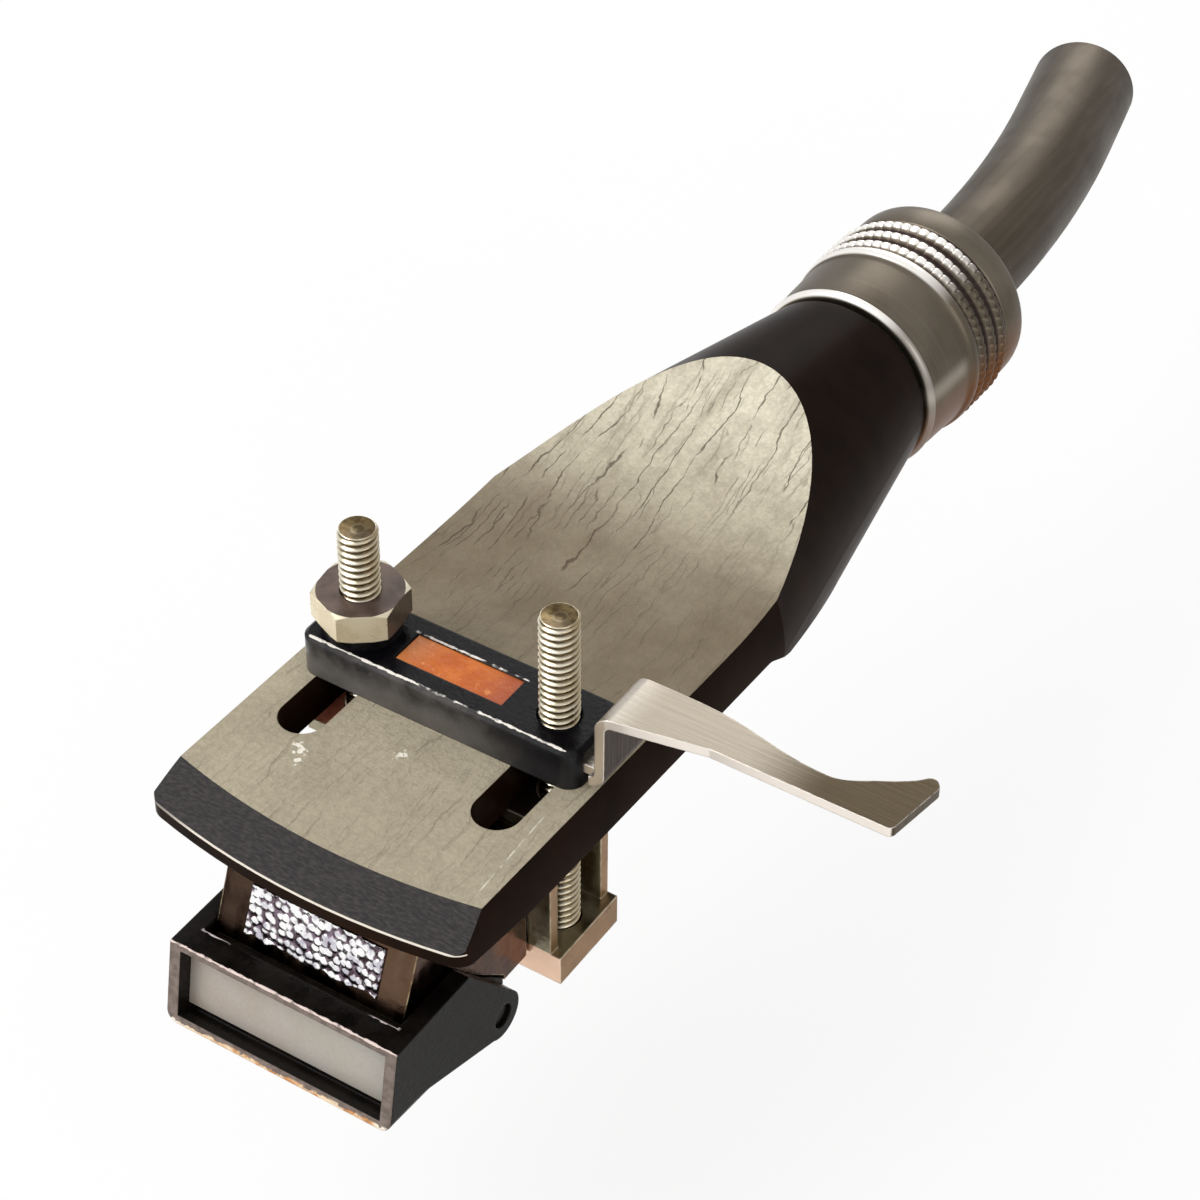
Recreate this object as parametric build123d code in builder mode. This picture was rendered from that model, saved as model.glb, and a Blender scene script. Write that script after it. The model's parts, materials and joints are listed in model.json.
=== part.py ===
"""Moving-magnet phono cartridge in its headshell, with the locking collar and the end of the arm tube.

Millimetres. Origin at the stylus point, +X to the finger lift, +Y to the arm, +Z up.
"""
import os
from math import cos, hypot, radians, sin, tan

from build123d import *

# Clearances and fits
running_clearance = 0.05
glue_gap = 0.02
press_gap = 0.01
side_clearance = 0.2
parting_clearance = 0.1

# Cartridge screws and the headshell plate that they pass through
stylus_to_screws = 9.5
screw_spacing = 12.7
screw_radius = 1.12
screw_hole_clearance = 0.1
screw_head_radius = 1.8
screw_point_chamfer = 0.14
screw_slot_width = 0.5
screw_slot_depth = 0.35
screw_above_facet = 9.35
washer_radius = 2.2
washer_thickness = 0.8
washer_chamfer = 0.1
nut_across_flats = 4.7
nut_height = 1.8
nut_chamfer = 0.3
nut_turn = 37.0

# Headshell, turned from bar and milled above and below; the cartridge sits a little askew in its slots
headshell_twist = 1.26
facet_z = 18.6
plate_thickness = 2.9
axis_drop = 3.36
body_radius = 10.3
neck_radius = 6.0
cone_start_y = 26.0
neck_rear_y = 49.0
scoop_start_y = 20.9
scoop_radius = 40.0
scoop_sweep = 70.0
front_radius = 45.0
front_y = -5.5
front_half_sweep = 35.0
front_corner_radius = 1.3
bevel_run = 2.3
bevel_drop = 1.5
land_height = 0.8
front_relief_run = 6.0
slot_width = 2.77
slot_length = 9.1
slot_front_y = 2.6
step_y = 24.6
step_run = 2.4
step_depth = 1.15
step_fillet = 1.2
underside_slope = 14.6
channel_width = 6.2
channel_front_y = 23.6
channel_rear_y = 40.0
channel_roof_z = 16.4
tunnel_front_y = 32.0
tunnel_radius = 3.1

# Bayonet plug and the arm's socket
plug_radius = 4.0
plug_bore_radius = 3.2
plug_seat_depth = 5.6
plug_reach = 7.0
bayonet_pin_radius = 0.8
bayonet_pin_setback = 3.6
bayonet_pin_reach = 1.3
bayonet_pin_chamfer = 0.2
gasket_thickness = 0.5
gasket_outer_radius = 5.6
insulator_thickness = 1.5
contact_radius = 0.45
contact_circle_radius = 1.9
contact_angle = 45.0
contact_tail = 2.5
contact_spring_reach = 1.0
socket_radius = 4.9
socket_wall_thickness = 1.5
spigot_length = 3.0
spigot_bore_margin = 0.15

# Locking collar
collar_rim_radius = 6.05
collar_radius = 6.45
collar_nose = 0.5
collar_length = 12.2
collar_back_wall = 1.6
collar_back_chamfer = 1.0
groove_margin = 0.3
entry_notch_clearance = 0.25
knurl_rows = 3
knurl_teeth = 64
knurl_height = 0.3
knurl_row_width = 0.9
knurl_row_pitch = 1.25
knurl_start = 5.6

# Arm tube, bent towards the record's middle
tube_radius = 3.55
tube_wall = 0.6
tube_bend_radius = 80.0
tube_bend_angle = 14.0
tube_end_straight = 6.0
tube_seam_turn = 16.3

# Clamp bar, its inlay and the finger lift
bar_length = 17.8
bar_depth = 4.95
bar_height = 2.55
bar_corner_radius = 1.0
bar_edge_chamfer = 0.25
inlay_length = 6.9
inlay_depth = 2.3
inlay_pocket = 0.3
inlay_thickness = 0.2
lift_sheet = 0.6
lift_foot_lift = 0.95
lift_foot_width = 3.2
lift_foot_start_x = 3.9
lift_web_x = 9.95
lift_web_front_y = 7.25
lift_web_width = 3.8
lift_top_z = 24.6
lift_tip_x = 27.1
lift_neck_x = 21.9
lift_neck_width = 1.6
lift_waist_front_y = 8.35
lift_waist_x = 16.1
lift_tip_width = 4.5
lift_flare_run = 3.2
lift_flare_rise = 0.8
lift_flare_slope = 0.6
lift_taper_drop = 0.2
lift_bend_radius = 0.35
lift_corner_cut = 0.6
lift_corner_radius = 0.4
lift_slot_clearance = 0.05

# Mounting bracket with its two screw channels
bracket_plate = 0.8
ear_foot_reach = 1.9
ear_wall_reach = 1.25
ear_web = 0.45
ear_wall = 0.7
ear_half_depth = 2.85
ear_foot_bottom_z = 4.1
ear_foot_height = 2.0

# Cartridge shell
shell_wall = 0.4
shell_half_width = 6.1
shell_rear_half_width = 4.3
shell_rear_y = 16.0
shell_step_y = 6.5
shell_front_top_y = -2.97
shell_front_lean = 22.0
shell_front_bottom_z = 10.2
shell_parting_y = -0.55
shell_parting_drop_y = 4.35
shell_parting_drop_z = 5.65
shell_parting_wall = 0.24
shell_skirt_z = 5.3
shell_nose_y = 8.7
foil_half_width = 4.3
foil_height = 3.1
foil_top_margin = 1.32
foil_thickness = 0.12

# Stylus tube, its suspension and its magnet
pivot_y = 6.8
pivot_z = 3.2
tube_tilt = 12.0
stylus_tube_radius = 1.1
stylus_tube_wall = 0.3
stylus_tube_front = 0.5
stylus_tube_rear = 8.0
stylus_socket_half = 1.6
stylus_socket_end = 8.3
socket_seat_gap = 0.05
damper_length = 0.9
damper_hole_clearance = 0.08
damper_tube_clearance = 0.06
cantilever_radius = 0.28
cantilever_overhang = 0.45
armature_length = 2.9
magnet_radius = 0.48
magnet_length = 1.9
tip_radius = 0.13
tip_cone_height = 0.28
tip_height = 0.85

# Coils and terminals
core_thickness = 1.0
core_gap_x = 0.3
core_limb_depth = 1.2
core_limb_y = 12.0
core_toe_front_y = 9.6
core_bottom_z = 4.4
core_toe_height = 1.1
core_top_z = 13.0
coil_top_z = 12.2
coil_winding_x = 0.65
coil_winding_y = 1.05
coil_corner_radius = 0.3
terminal_block_depth = 1.4
terminal_spigot_depth = 0.7
terminal_spacing_x = 4.4
terminal_low_z = 7.8
terminal_high_z = 11.4
terminal_radius = 0.6
terminal_reach = 4.2
terminal_tail = 1.6

# Leads and the clips at their ends
lead_radius = 0.4
lead_first_run = 3.6
lead_tunnel_y = 36.0
lead_bend_radius = 4.0
clip_radius = 1.0
clip_gap = 0.8
clip_length = 3.4
clip_crimp_radius = 0.65
clip_crimp_length = 1.5

# Stylus holder and its guard
holder_half_width = 6.1
holder_front_gap = 0.35
holder_rear_y = 4.2
holder_rear_bottom_z = 3.6
holder_neck_half_width = 2.4
holder_neck_rear_y = 8.4
holder_neck_front_y = 6.1
holder_neck_tongue = 1.1
holder_neck_below = 0.5
guard_half_width = 7.35
guard_arm = 1.05
guard_plate_thickness = 1.5
guard_corner_radius = 0.7
guard_top_y = -7.04
guard_top_z = 10.73
guard_bottom_y = -8.0
guard_bottom_z = 5.5
guard_arm_rear_y = -0.6
guard_arm_belly_y = -2.3
guard_arm_belly_z = 5.0
guard_pivot_y = 2.39
guard_pivot_z = 4.95
guard_boss_radius = 1.5
guard_boss_shoulder = 45.0
guard_pin_radius = 0.7
panel_half_width = 6.65
panel_height = 4.35
panel_bottom_margin = 0.55
panel_lower_gap = 0.35
panel_pocket = 1.05
panel_thickness = 0.12

# Derived places
screw_x = screw_spacing / 2
screw_y = stylus_to_screws
plate_bottom_z = facet_z - plate_thickness
arm_axis_z = facet_z - axis_drop
screw_hole_radius = screw_radius + screw_hole_clearance
screw_top_z = facet_z + screw_above_facet
ear_outer_x = screw_x + ear_foot_reach
ear_wall_outer_x = screw_x + ear_wall_reach
ear_web_x = shell_rear_half_width + parting_clearance
screw_head_height = screw_head_radius - screw_radius
bar_top_z = facet_z + bar_height
nut_base_z = bar_top_z + washer_thickness
bayonet_pin_y = neck_rear_y + bayonet_pin_setback
collar_front_y = neck_rear_y + gasket_thickness
collar_rear_y = collar_front_y + collar_length
plug_rear_y = neck_rear_y + plug_reach
insulator_front_y = plug_rear_y + contact_spring_reach
socket_floor_y = insulator_front_y + insulator_thickness
socket_rear_y = socket_floor_y + socket_wall_thickness
tube_inner_radius = tube_radius - tube_wall
spigot_radius = tube_inner_radius - glue_gap
spigot_bore_radius = contact_circle_radius + contact_radius + spigot_bore_margin
shell_top_z = plate_bottom_z - bracket_plate
shell_lean = tan(radians(shell_front_lean))
socket_slope = tan(radians(tube_tilt))
socket_front = (
    (shell_nose_y + shell_wall - pivot_y) / cos(radians(tube_tilt)) + stylus_socket_half * socket_slope
)
shell_floor_drop = (stylus_socket_half + socket_seat_gap + shell_wall) / cos(radians(tube_tilt))
beyond = 60.0

arm_axis = Axis((0, 0, arm_axis_z), (0, 1, 0))
twist_axis = Axis((0, screw_y, 0), (0, 0, 1))
turning_plane = Plane.XY.offset(arm_axis_z)
stylus_axis = Vector(0, cos(radians(tube_tilt)), sin(radians(tube_tilt)))
pivot = Vector(0, pivot_y, pivot_z)


def across(x, y, z):
    """Plane square to the arm at a point, with its normal towards the arm."""
    return Plane(origin=(x, y, z), x_dir=(-1, 0, 0), z_dir=(0, 1, 0))


def along_stylus(distance):
    """Plane square to the stylus tube, a distance behind the cantilever's pivot."""
    return Plane(origin=pivot + stylus_axis * distance, x_dir=(1, 0, 0), z_dir=stylus_axis)


def tube_axis_z(y):
    """Height of the stylus tube's axis at a place along the arm."""
    return pivot_z + (y - pivot_y) * socket_slope


def shell_front(z):
    """Place of the shell's leaning front face at a height."""
    return shell_front_top_y - (shell_top_z - z) * shell_lean


def shell_floor(y):
    """Height of the shell's sloping floor under the stylus socket."""
    return tube_axis_z(y) - shell_floor_drop


def write(piece, name):
    """Labels a finished piece and writes its STEP file."""
    piece.part.label = name
    export_step(piece.part, f"parts/{name}.step")


def write_turned(piece, name):
    """Turns a piece of the headshell or the arm by the cartridge's twist in its slots, and writes it."""
    shape = piece.part.rotate(twist_axis, -headshell_twist)
    shape.label = name
    export_step(shape, f"parts/{name}.step")


def turned_point(x, y, z):
    """A point of the headshell or the arm, turned by the cartridge's twist in its slots."""
    twist = radians(headshell_twist)
    ahead = y - screw_y
    return (x * cos(twist) + ahead * sin(twist), screw_y + ahead * cos(twist) - x * sin(twist), z)


os.makedirs("parts", exist_ok=True)

# Headshell body: turned cone and flange, scooped above, milled below, slotted for the screws
with BuildPart() as headshell_body:
    with BuildSketch(turning_plane):
        with BuildLine():
            Polyline(
                (0, front_y - bevel_run), (body_radius, front_y - bevel_run), (body_radius, cone_start_y),
                (neck_radius, neck_rear_y), (0, neck_rear_y), close=True,
            )
        make_face()
    revolve(axis=arm_axis)
    scoop_end = radians(scoop_sweep)
    with BuildSketch(Plane.YZ):
        with BuildLine():
            flat = Line((front_y - beyond, facet_z), (scoop_start_y, facet_z))
            rise = TangentArc(
                flat @ 1,
                (
                    scoop_start_y + scoop_radius * sin(scoop_end),
                    facet_z + scoop_radius * (1 - cos(scoop_end)),
                ),
                tangent=(1, 0),
            )
            Polyline(rise @ 1, (front_y - beyond, (rise @ 1).Y), flat @ 0)
        make_face()
    extrude(amount=beyond, both=True, mode=Mode.SUBTRACT)
    underside_y = step_y + step_run
    underside_z = plate_bottom_z - step_depth
    with BuildSketch(Plane.YZ):
        with BuildLine():
            below = FilletPolyline(
                (front_y - beyond, plate_bottom_z), (step_y, plate_bottom_z), (underside_y, underside_z),
                (underside_y + beyond, underside_z - beyond * tan(radians(underside_slope))),
                radius=step_fillet,
            )
            Polyline(below @ 1, (underside_y + beyond, -beyond), (front_y - beyond, -beyond), below @ 0)
        make_face()
    extrude(amount=beyond, both=True, mode=Mode.SUBTRACT)
    # The round front edge has rounded corners, a turned bevel above and a turned relief below.
    front_centre_y = front_y + front_radius
    front_corner_y = front_centre_y - (front_radius ** 2 - body_radius ** 2) ** 0.5
    with BuildSketch() as plan:
        with BuildLine():
            rim = ThreePointArc(
                (-body_radius, front_corner_y), (0, front_y), (body_radius, front_corner_y)
            )
            Polyline(rim @ 1, (body_radius, beyond), (-body_radius, beyond), rim @ 0)
        make_face()
        fillet(plan.vertices().group_by(Axis.Y)[0], radius=front_corner_radius)
    extrude(amount=beyond, mode=Mode.INTERSECT)
    start = radians(-90 - front_half_sweep)
    front_plane = Plane(
        origin=(0, front_centre_y, 0), x_dir=(cos(start), sin(start), 0), z_dir=(sin(start), -cos(start), 0)
    )
    land_top_z = facet_z - bevel_drop
    land_bottom_z = land_top_z - land_height
    relief_drop = land_bottom_z - plate_bottom_z
    with BuildSketch(front_plane):
        with BuildLine():
            Polyline(
                (front_radius - 2 * bevel_run, facet_z + bevel_drop),
                (front_radius + bevel_run, facet_z + bevel_drop),
                (front_radius + bevel_run, land_top_z - bevel_drop), close=True,
            )
        make_face()
        with BuildLine():
            Polyline(
                (front_radius - 2 * front_relief_run, plate_bottom_z - relief_drop),
                (front_radius + front_relief_run, land_bottom_z + relief_drop),
                (front_radius + front_relief_run, plate_bottom_z - relief_drop), close=True,
            )
        make_face()
    revolve(
        axis=Axis((0, front_centre_y, 0), (0, 0, 1)), revolution_arc=2 * front_half_sweep, mode=Mode.SUBTRACT
    )
    with BuildSketch(Plane.XY.offset(plate_bottom_z)):
        with Locations((-screw_x, slot_front_y + slot_length / 2), (screw_x, slot_front_y + slot_length / 2)):
            SlotOverall(slot_length, slot_width, rotation=90)
    extrude(amount=beyond, both=True, mode=Mode.SUBTRACT)
    with BuildSketch(Plane.XY.offset(channel_roof_z)):
        with Locations((0, (channel_front_y + channel_rear_y) / 2)):
            Rectangle(channel_width, channel_rear_y - channel_front_y)
    extrude(amount=-beyond, mode=Mode.SUBTRACT)
    with BuildSketch(across(0, tunnel_front_y, arm_axis_z)):
        Circle(tunnel_radius)
    extrude(amount=neck_rear_y, mode=Mode.SUBTRACT)
    with BuildSketch(across(0, neck_rear_y - plug_seat_depth, arm_axis_z)):
        Circle(plug_radius + glue_gap)
    extrude(amount=neck_rear_y, mode=Mode.SUBTRACT)
write_turned(headshell_body, "headshell_body")

# Bayonet plug: turned tube pressed into the neck
with BuildPart() as bayonet_plug:
    with BuildSketch(turning_plane):
        with BuildLine():
            Polyline(
                (plug_bore_radius, neck_rear_y - plug_seat_depth + glue_gap),
                (plug_radius, neck_rear_y - plug_seat_depth + glue_gap),
                (plug_radius, plug_rear_y), (plug_bore_radius, plug_rear_y), close=True,
            )
        make_face()
    revolve(axis=arm_axis)
    with BuildSketch(Plane.XY.offset(arm_axis_z)):
        with Locations((0, bayonet_pin_y)):
            Circle(bayonet_pin_radius + press_gap)
    extrude(amount=beyond, mode=Mode.SUBTRACT)
write_turned(bayonet_plug, "bayonet_plug")

# Bayonet pin: hardened pin that stands out of the plug and is drawn in by the collar
with BuildPart() as bayonet_pin:
    with BuildSketch(Plane.XY.offset(arm_axis_z + plug_bore_radius)):
        with Locations((0, bayonet_pin_y)):
            Circle(bayonet_pin_radius)
    extrude(amount=plug_radius - plug_bore_radius + bayonet_pin_reach)
    chamfer(bayonet_pin.faces().sort_by(Axis.Z)[-1].edges(), length=bayonet_pin_chamfer)
write_turned(bayonet_pin, "bayonet_pin")

# Gasket: rubber washer between the neck and the collar
with BuildPart() as gasket:
    with BuildSketch(across(0, neck_rear_y, arm_axis_z)):
        Circle(gasket_outer_radius)
        Circle(plug_radius + glue_gap, mode=Mode.SUBTRACT)
    extrude(amount=gasket_thickness - glue_gap)
write_turned(gasket, "gasket")


def contact_places(radius):
    """Four contact centres on a circle, in the plane square to the arm."""
    return PolarLocations(radius, 4, start_angle=contact_angle)


# Plug insulator: disc with four holes at the end of the plug
with BuildPart() as plug_insulator:
    with BuildSketch(across(0, plug_rear_y - insulator_thickness, arm_axis_z)):
        Circle(plug_bore_radius - glue_gap)
        with contact_places(contact_circle_radius):
            Circle(contact_radius + press_gap, mode=Mode.SUBTRACT)
    extrude(amount=insulator_thickness)
write_turned(plug_insulator, "plug_insulator")

# Plug contacts: four pins, flush with the insulator, with tails for the leads
with BuildPart() as plug_contacts:
    with BuildSketch(across(0, plug_rear_y - insulator_thickness - contact_tail, arm_axis_z)):
        with contact_places(contact_circle_radius):
            Circle(contact_radius)
    extrude(amount=insulator_thickness + contact_tail)
write_turned(plug_contacts, "plug_contacts")

# Arm socket: sleeve for the plug, with a slot for its pin and a spigot in the arm tube
with BuildPart() as arm_socket:
    with BuildSketch(turning_plane):
        with BuildLine():
            Polyline(
                (plug_radius + running_clearance, collar_front_y + groove_margin),
                (socket_radius, collar_front_y + groove_margin), (socket_radius, socket_rear_y),
                (spigot_radius, socket_rear_y), (spigot_radius, socket_rear_y + spigot_length),
                (spigot_bore_radius, socket_rear_y + spigot_length), (spigot_bore_radius, socket_floor_y),
                (plug_radius + running_clearance, socket_floor_y), close=True,
            )
        make_face()
    revolve(axis=arm_axis)
    pin_slot_half = bayonet_pin_radius + entry_notch_clearance
    pin_slot_end_y = bayonet_pin_y + pin_slot_half
    with BuildSketch(Plane.XY.offset(arm_axis_z)):
        with Locations((0, (collar_front_y + pin_slot_end_y) / 2)):
            Rectangle(2 * pin_slot_half, pin_slot_end_y - collar_front_y)
    extrude(amount=beyond, mode=Mode.SUBTRACT)
write_turned(arm_socket, "arm_socket")

# Socket insulator and its four spring contacts
with BuildPart() as socket_insulator:
    with BuildSketch(across(0, insulator_front_y, arm_axis_z)):
        Circle(plug_radius + running_clearance - glue_gap)
        with contact_places(contact_circle_radius):
            Circle(contact_radius + press_gap, mode=Mode.SUBTRACT)
    extrude(amount=insulator_thickness)
write_turned(socket_insulator, "socket_insulator")

with BuildPart() as socket_contacts:
    with BuildSketch(across(0, plug_rear_y + glue_gap, arm_axis_z)):
        with contact_places(contact_circle_radius):
            Circle(contact_radius)
    extrude(amount=socket_floor_y + contact_tail - plug_rear_y)
write_turned(socket_contacts, "socket_contacts")

# Locking collar: knurled nut that turns on the socket and draws the bayonet pin in
groove_radius = plug_radius + bayonet_pin_reach + side_clearance
collar_bore_radius = socket_radius + running_clearance
groove_front_y = bayonet_pin_y - bayonet_pin_radius - groove_margin
groove_rear_y = bayonet_pin_y + bayonet_pin_radius + groove_margin
with BuildPart() as locking_collar:
    with BuildSketch(turning_plane):
        with BuildLine():
            Polyline(
                (collar_bore_radius, collar_front_y), (collar_rim_radius, collar_front_y),
                (collar_radius, collar_front_y + collar_nose),
                (collar_radius, collar_rear_y - collar_back_chamfer),
                (collar_radius - collar_back_chamfer, collar_rear_y),
                (tube_radius + side_clearance, collar_rear_y),
                (tube_radius + side_clearance, collar_rear_y - collar_back_wall),
                (collar_bore_radius, collar_rear_y - collar_back_wall),
                (collar_bore_radius, groove_rear_y), (groove_radius, groove_rear_y),
                (groove_radius, groove_front_y), (collar_bore_radius, groove_front_y), close=True,
            )
        make_face()
    revolve(axis=arm_axis)
    knurl_ring = []
    for step in range(2 * knurl_teeth):
        angle = radians(step * 180 / knurl_teeth)
        reach = collar_radius + (knurl_height if step % 2 else 0)
        knurl_ring.append((reach * cos(angle), reach * sin(angle)))
    for row in range(knurl_rows):
        with BuildSketch(across(0, collar_front_y + knurl_start + row * knurl_row_pitch, arm_axis_z)):
            with BuildLine():
                Polyline(*knurl_ring, close=True)
            make_face()
            Circle(collar_radius - knurl_height, mode=Mode.SUBTRACT)
        extrude(amount=knurl_row_width)
    # The way in for the bayonet pin lies on the side when the collar is locked.
    with BuildSketch(Plane.YZ):
        with Locations(((collar_front_y + groove_front_y) / 2, arm_axis_z)):
            Rectangle(groove_front_y - collar_front_y, 2 * pin_slot_half)
    extrude(amount=groove_radius, mode=Mode.SUBTRACT)
write_turned(locking_collar, "locking_collar")

# Arm tube: drawn tube with a shallow bend, cut square at its free end
bend_y = socket_rear_y + spigot_length + side_clearance
bend = radians(tube_bend_angle)
bend_end = (-tube_bend_radius * (1 - cos(bend)), bend_y + tube_bend_radius * sin(bend))
tube_start_y = socket_rear_y + glue_gap
seam = radians(tube_seam_turn)


def tube_section(x, y, heading):
    """Plane square to the tube where it has turned so far, its seam out of the plane of the bend."""
    seam_side = (-cos(heading) * cos(seam), -sin(heading) * cos(seam), sin(seam))
    return Plane(origin=(x, y, arm_axis_z), x_dir=seam_side, z_dir=(-sin(heading), cos(heading), 0))


with BuildPart() as arm_tube:
    with BuildSketch(tube_section(0, tube_start_y, 0)):
        Circle(tube_radius)
        Circle(tube_inner_radius, mode=Mode.SUBTRACT)
    extrude(amount=bend_y - tube_start_y)
    with BuildSketch(tube_section(0, bend_y, 0)):
        Circle(tube_radius)
        Circle(tube_inner_radius, mode=Mode.SUBTRACT)
    revolve(axis=Axis((-tube_bend_radius, bend_y, arm_axis_z), (0, 0, 1)), revolution_arc=tube_bend_angle)
    with BuildSketch(tube_section(*bend_end, bend)):
        Circle(tube_radius)
        Circle(tube_inner_radius, mode=Mode.SUBTRACT)
    extrude(amount=tube_end_straight)
write_turned(arm_tube, "arm_tube")

# Clamp bar: moulded bar under the nuts, pocketed for its inlay and slotted for the finger lift's foot
lift_foot_bottom_z = facet_z + lift_foot_lift
with BuildPart() as clamp_bar:
    with BuildSketch(Plane.XY.offset(facet_z)):
        with Locations((0, screw_y)):
            RectangleRounded(bar_length, bar_depth, bar_corner_radius)
        with Locations((-screw_x, screw_y), (screw_x, screw_y)):
            Circle(screw_hole_radius, mode=Mode.SUBTRACT)
    extrude(amount=bar_height)
    top_rim = clamp_bar.faces().sort_by(Axis.Z)[-1].outer_wire().edges()
    chamfer(top_rim, length=bar_edge_chamfer)
    with BuildSketch(Plane.XY.offset(bar_top_z)):
        with Locations((0, screw_y)):
            Rectangle(inlay_length, inlay_depth)
    extrude(amount=-inlay_pocket, mode=Mode.SUBTRACT)
    slot_inner_x = lift_foot_start_x - lift_slot_clearance
    with BuildSketch(Plane.XY.offset(lift_foot_bottom_z)):
        with Locations(((slot_inner_x + bar_length) / 2, screw_y)):
            Rectangle(bar_length - slot_inner_x, lift_foot_width + 2 * lift_slot_clearance)
    extrude(amount=lift_sheet + lift_slot_clearance, mode=Mode.SUBTRACT)
write(clamp_bar, "clamp_bar")

# Bar inlay: plain coloured plate set into the bar
with BuildPart() as bar_inlay:
    with BuildSketch(Plane.XY.offset(bar_top_z - inlay_pocket)):
        with Locations((0, screw_y)):
            Rectangle(inlay_length - 2 * lift_slot_clearance, inlay_depth - 2 * lift_slot_clearance)
    extrude(amount=inlay_thickness)
write(bar_inlay, "bar_inlay")

# Finger lift: one folded sheet, foot under the bar, upright web, tapered blade with a flared tip
lift_back_y = lift_web_front_y + lift_web_width
lift_neck_back_y = lift_waist_front_y + lift_neck_width
lift_tip_back_y = lift_waist_front_y + lift_tip_width
web_outer_x = lift_web_x + lift_sheet
with BuildPart() as finger_lift:
    with BuildSketch(Plane.XZ):
        with BuildLine():
            lower_skin = FilletPolyline(
                (lift_foot_start_x, lift_foot_bottom_z), (web_outer_x, lift_foot_bottom_z),
                (web_outer_x, lift_top_z - lift_sheet), (lift_tip_x, lift_top_z - lift_sheet),
                radius=[lift_bend_radius + lift_sheet, lift_bend_radius],
            )
            upper_skin = FilletPolyline(
                (lift_foot_start_x, lift_foot_bottom_z + lift_sheet),
                (lift_web_x, lift_foot_bottom_z + lift_sheet),
                (lift_web_x, lift_top_z), (lift_tip_x, lift_top_z),
                radius=[lift_bend_radius, lift_bend_radius + lift_sheet],
            )
            Line(lower_skin @ 0, upper_skin @ 0)
            Line(lower_skin @ 1, upper_skin @ 1)
        make_face()
    extrude(amount=-beyond)
    with BuildSketch():
        with BuildLine():
            front_run = Polyline(
                (lift_foot_start_x, screw_y + lift_foot_width / 2),
                (lift_foot_start_x, screw_y - lift_foot_width / 2),
                (lift_web_x - lift_bend_radius, screw_y - lift_foot_width / 2),
                (lift_web_x - lift_bend_radius, lift_web_front_y), (web_outer_x, lift_web_front_y),
                (lift_waist_x, lift_waist_front_y), (lift_tip_x - lift_corner_cut, lift_waist_front_y),
                (lift_tip_x, lift_tip_back_y - lift_corner_cut),
            )
            tip = Line(front_run @ 1, (lift_tip_x - lift_corner_cut, lift_tip_back_y))
            flare = Spline(
                tip @ 1, (lift_tip_x - lift_flare_run, lift_neck_back_y + lift_flare_rise),
                (lift_neck_x, lift_neck_back_y), tangents=[(-lift_flare_slope, -1), (-1, 0)],
            )
            taper = Spline(
                flare @ 1, (lift_waist_x, lift_back_y - lift_taper_drop),
                (web_outer_x, lift_back_y), tangents=[(-1, 0), (-1, 0)],
            )
            Polyline(
                taper @ 1, (lift_web_x - lift_bend_radius, lift_back_y),
                (lift_web_x - lift_bend_radius, screw_y + lift_foot_width / 2), front_run @ 0,
            )
        make_face()
        with Locations((screw_x, screw_y)):
            Circle(screw_hole_radius, mode=Mode.SUBTRACT)
    extrude(amount=beyond, mode=Mode.INTERSECT)
    tip_corners = finger_lift.edges().filter_by(Axis.Z).sort_by(Axis.X)[-3:]
    fillet(tip_corners, radius=lift_corner_radius)
write(finger_lift, "finger_lift")


def countersunk_screw(x):
    """Slotted countersunk machine screw, head down in the bracket's foot."""
    with BuildPart() as screw:
        with BuildSketch(Plane.XZ.offset(-screw_y)):
            with BuildLine():
                Polyline(
                    (x, ear_foot_bottom_z), (x + screw_head_radius, ear_foot_bottom_z),
                    (x + screw_radius, ear_foot_bottom_z + screw_head_height),
                    (x + screw_radius, screw_top_z - screw_point_chamfer),
                    (x + screw_radius - screw_point_chamfer, screw_top_z), (x, screw_top_z), close=True,
                )
            make_face()
        revolve(axis=Axis((x, screw_y, 0), (0, 0, 1)))
        with BuildSketch(Plane.XY.offset(ear_foot_bottom_z)):
            with Locations((x, screw_y)):
                Rectangle(2 * screw_head_radius, screw_slot_width)
        extrude(amount=screw_slot_depth, mode=Mode.SUBTRACT)
    return screw


write(countersunk_screw(-screw_x), "left_screw")
write(countersunk_screw(screw_x), "right_screw")

# Washer: black fibre ring on the bar, under the nut
with BuildPart() as left_washer:
    with BuildSketch(Plane.XY.offset(bar_top_z)):
        with Locations((-screw_x, screw_y)):
            Circle(washer_radius)
            Circle(screw_hole_radius, mode=Mode.SUBTRACT)
    extrude(amount=washer_thickness)
    outer_rim = left_washer.faces().sort_by(Axis.Z)[-1].outer_wire().edges()
    chamfer(outer_rim, length=washer_chamfer)
write(left_washer, "left_washer")

# Nut: one hexagon nut, on the left screw only
with BuildPart() as left_nut:
    with BuildSketch(Plane.XY.offset(nut_base_z)):
        with Locations((-screw_x, screw_y)):
            RegularPolygon(nut_across_flats / 2, 6, major_radius=False, rotation=nut_turn)
            Circle(screw_radius + press_gap, mode=Mode.SUBTRACT)
    extrude(amount=nut_height)
    nut_corner = nut_across_flats / 2 / cos(radians(30))
    nut_top_z = nut_base_z + nut_height
    with BuildSketch(Plane.XZ.offset(-screw_y)):
        with BuildLine():
            Polyline(
                (-screw_x, nut_base_z), (-screw_x + nut_corner - nut_chamfer, nut_base_z),
                (-screw_x + nut_corner, nut_base_z + nut_chamfer / 2),
                (-screw_x + nut_corner, nut_top_z - nut_chamfer / 2),
                (-screw_x + nut_corner - nut_chamfer, nut_top_z), (-screw_x, nut_top_z), close=True,
            )
        make_face()
    revolve(axis=Axis((-screw_x, screw_y, 0), (0, 0, 1)), mode=Mode.INTERSECT)
write(left_nut, "left_nut")

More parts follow.
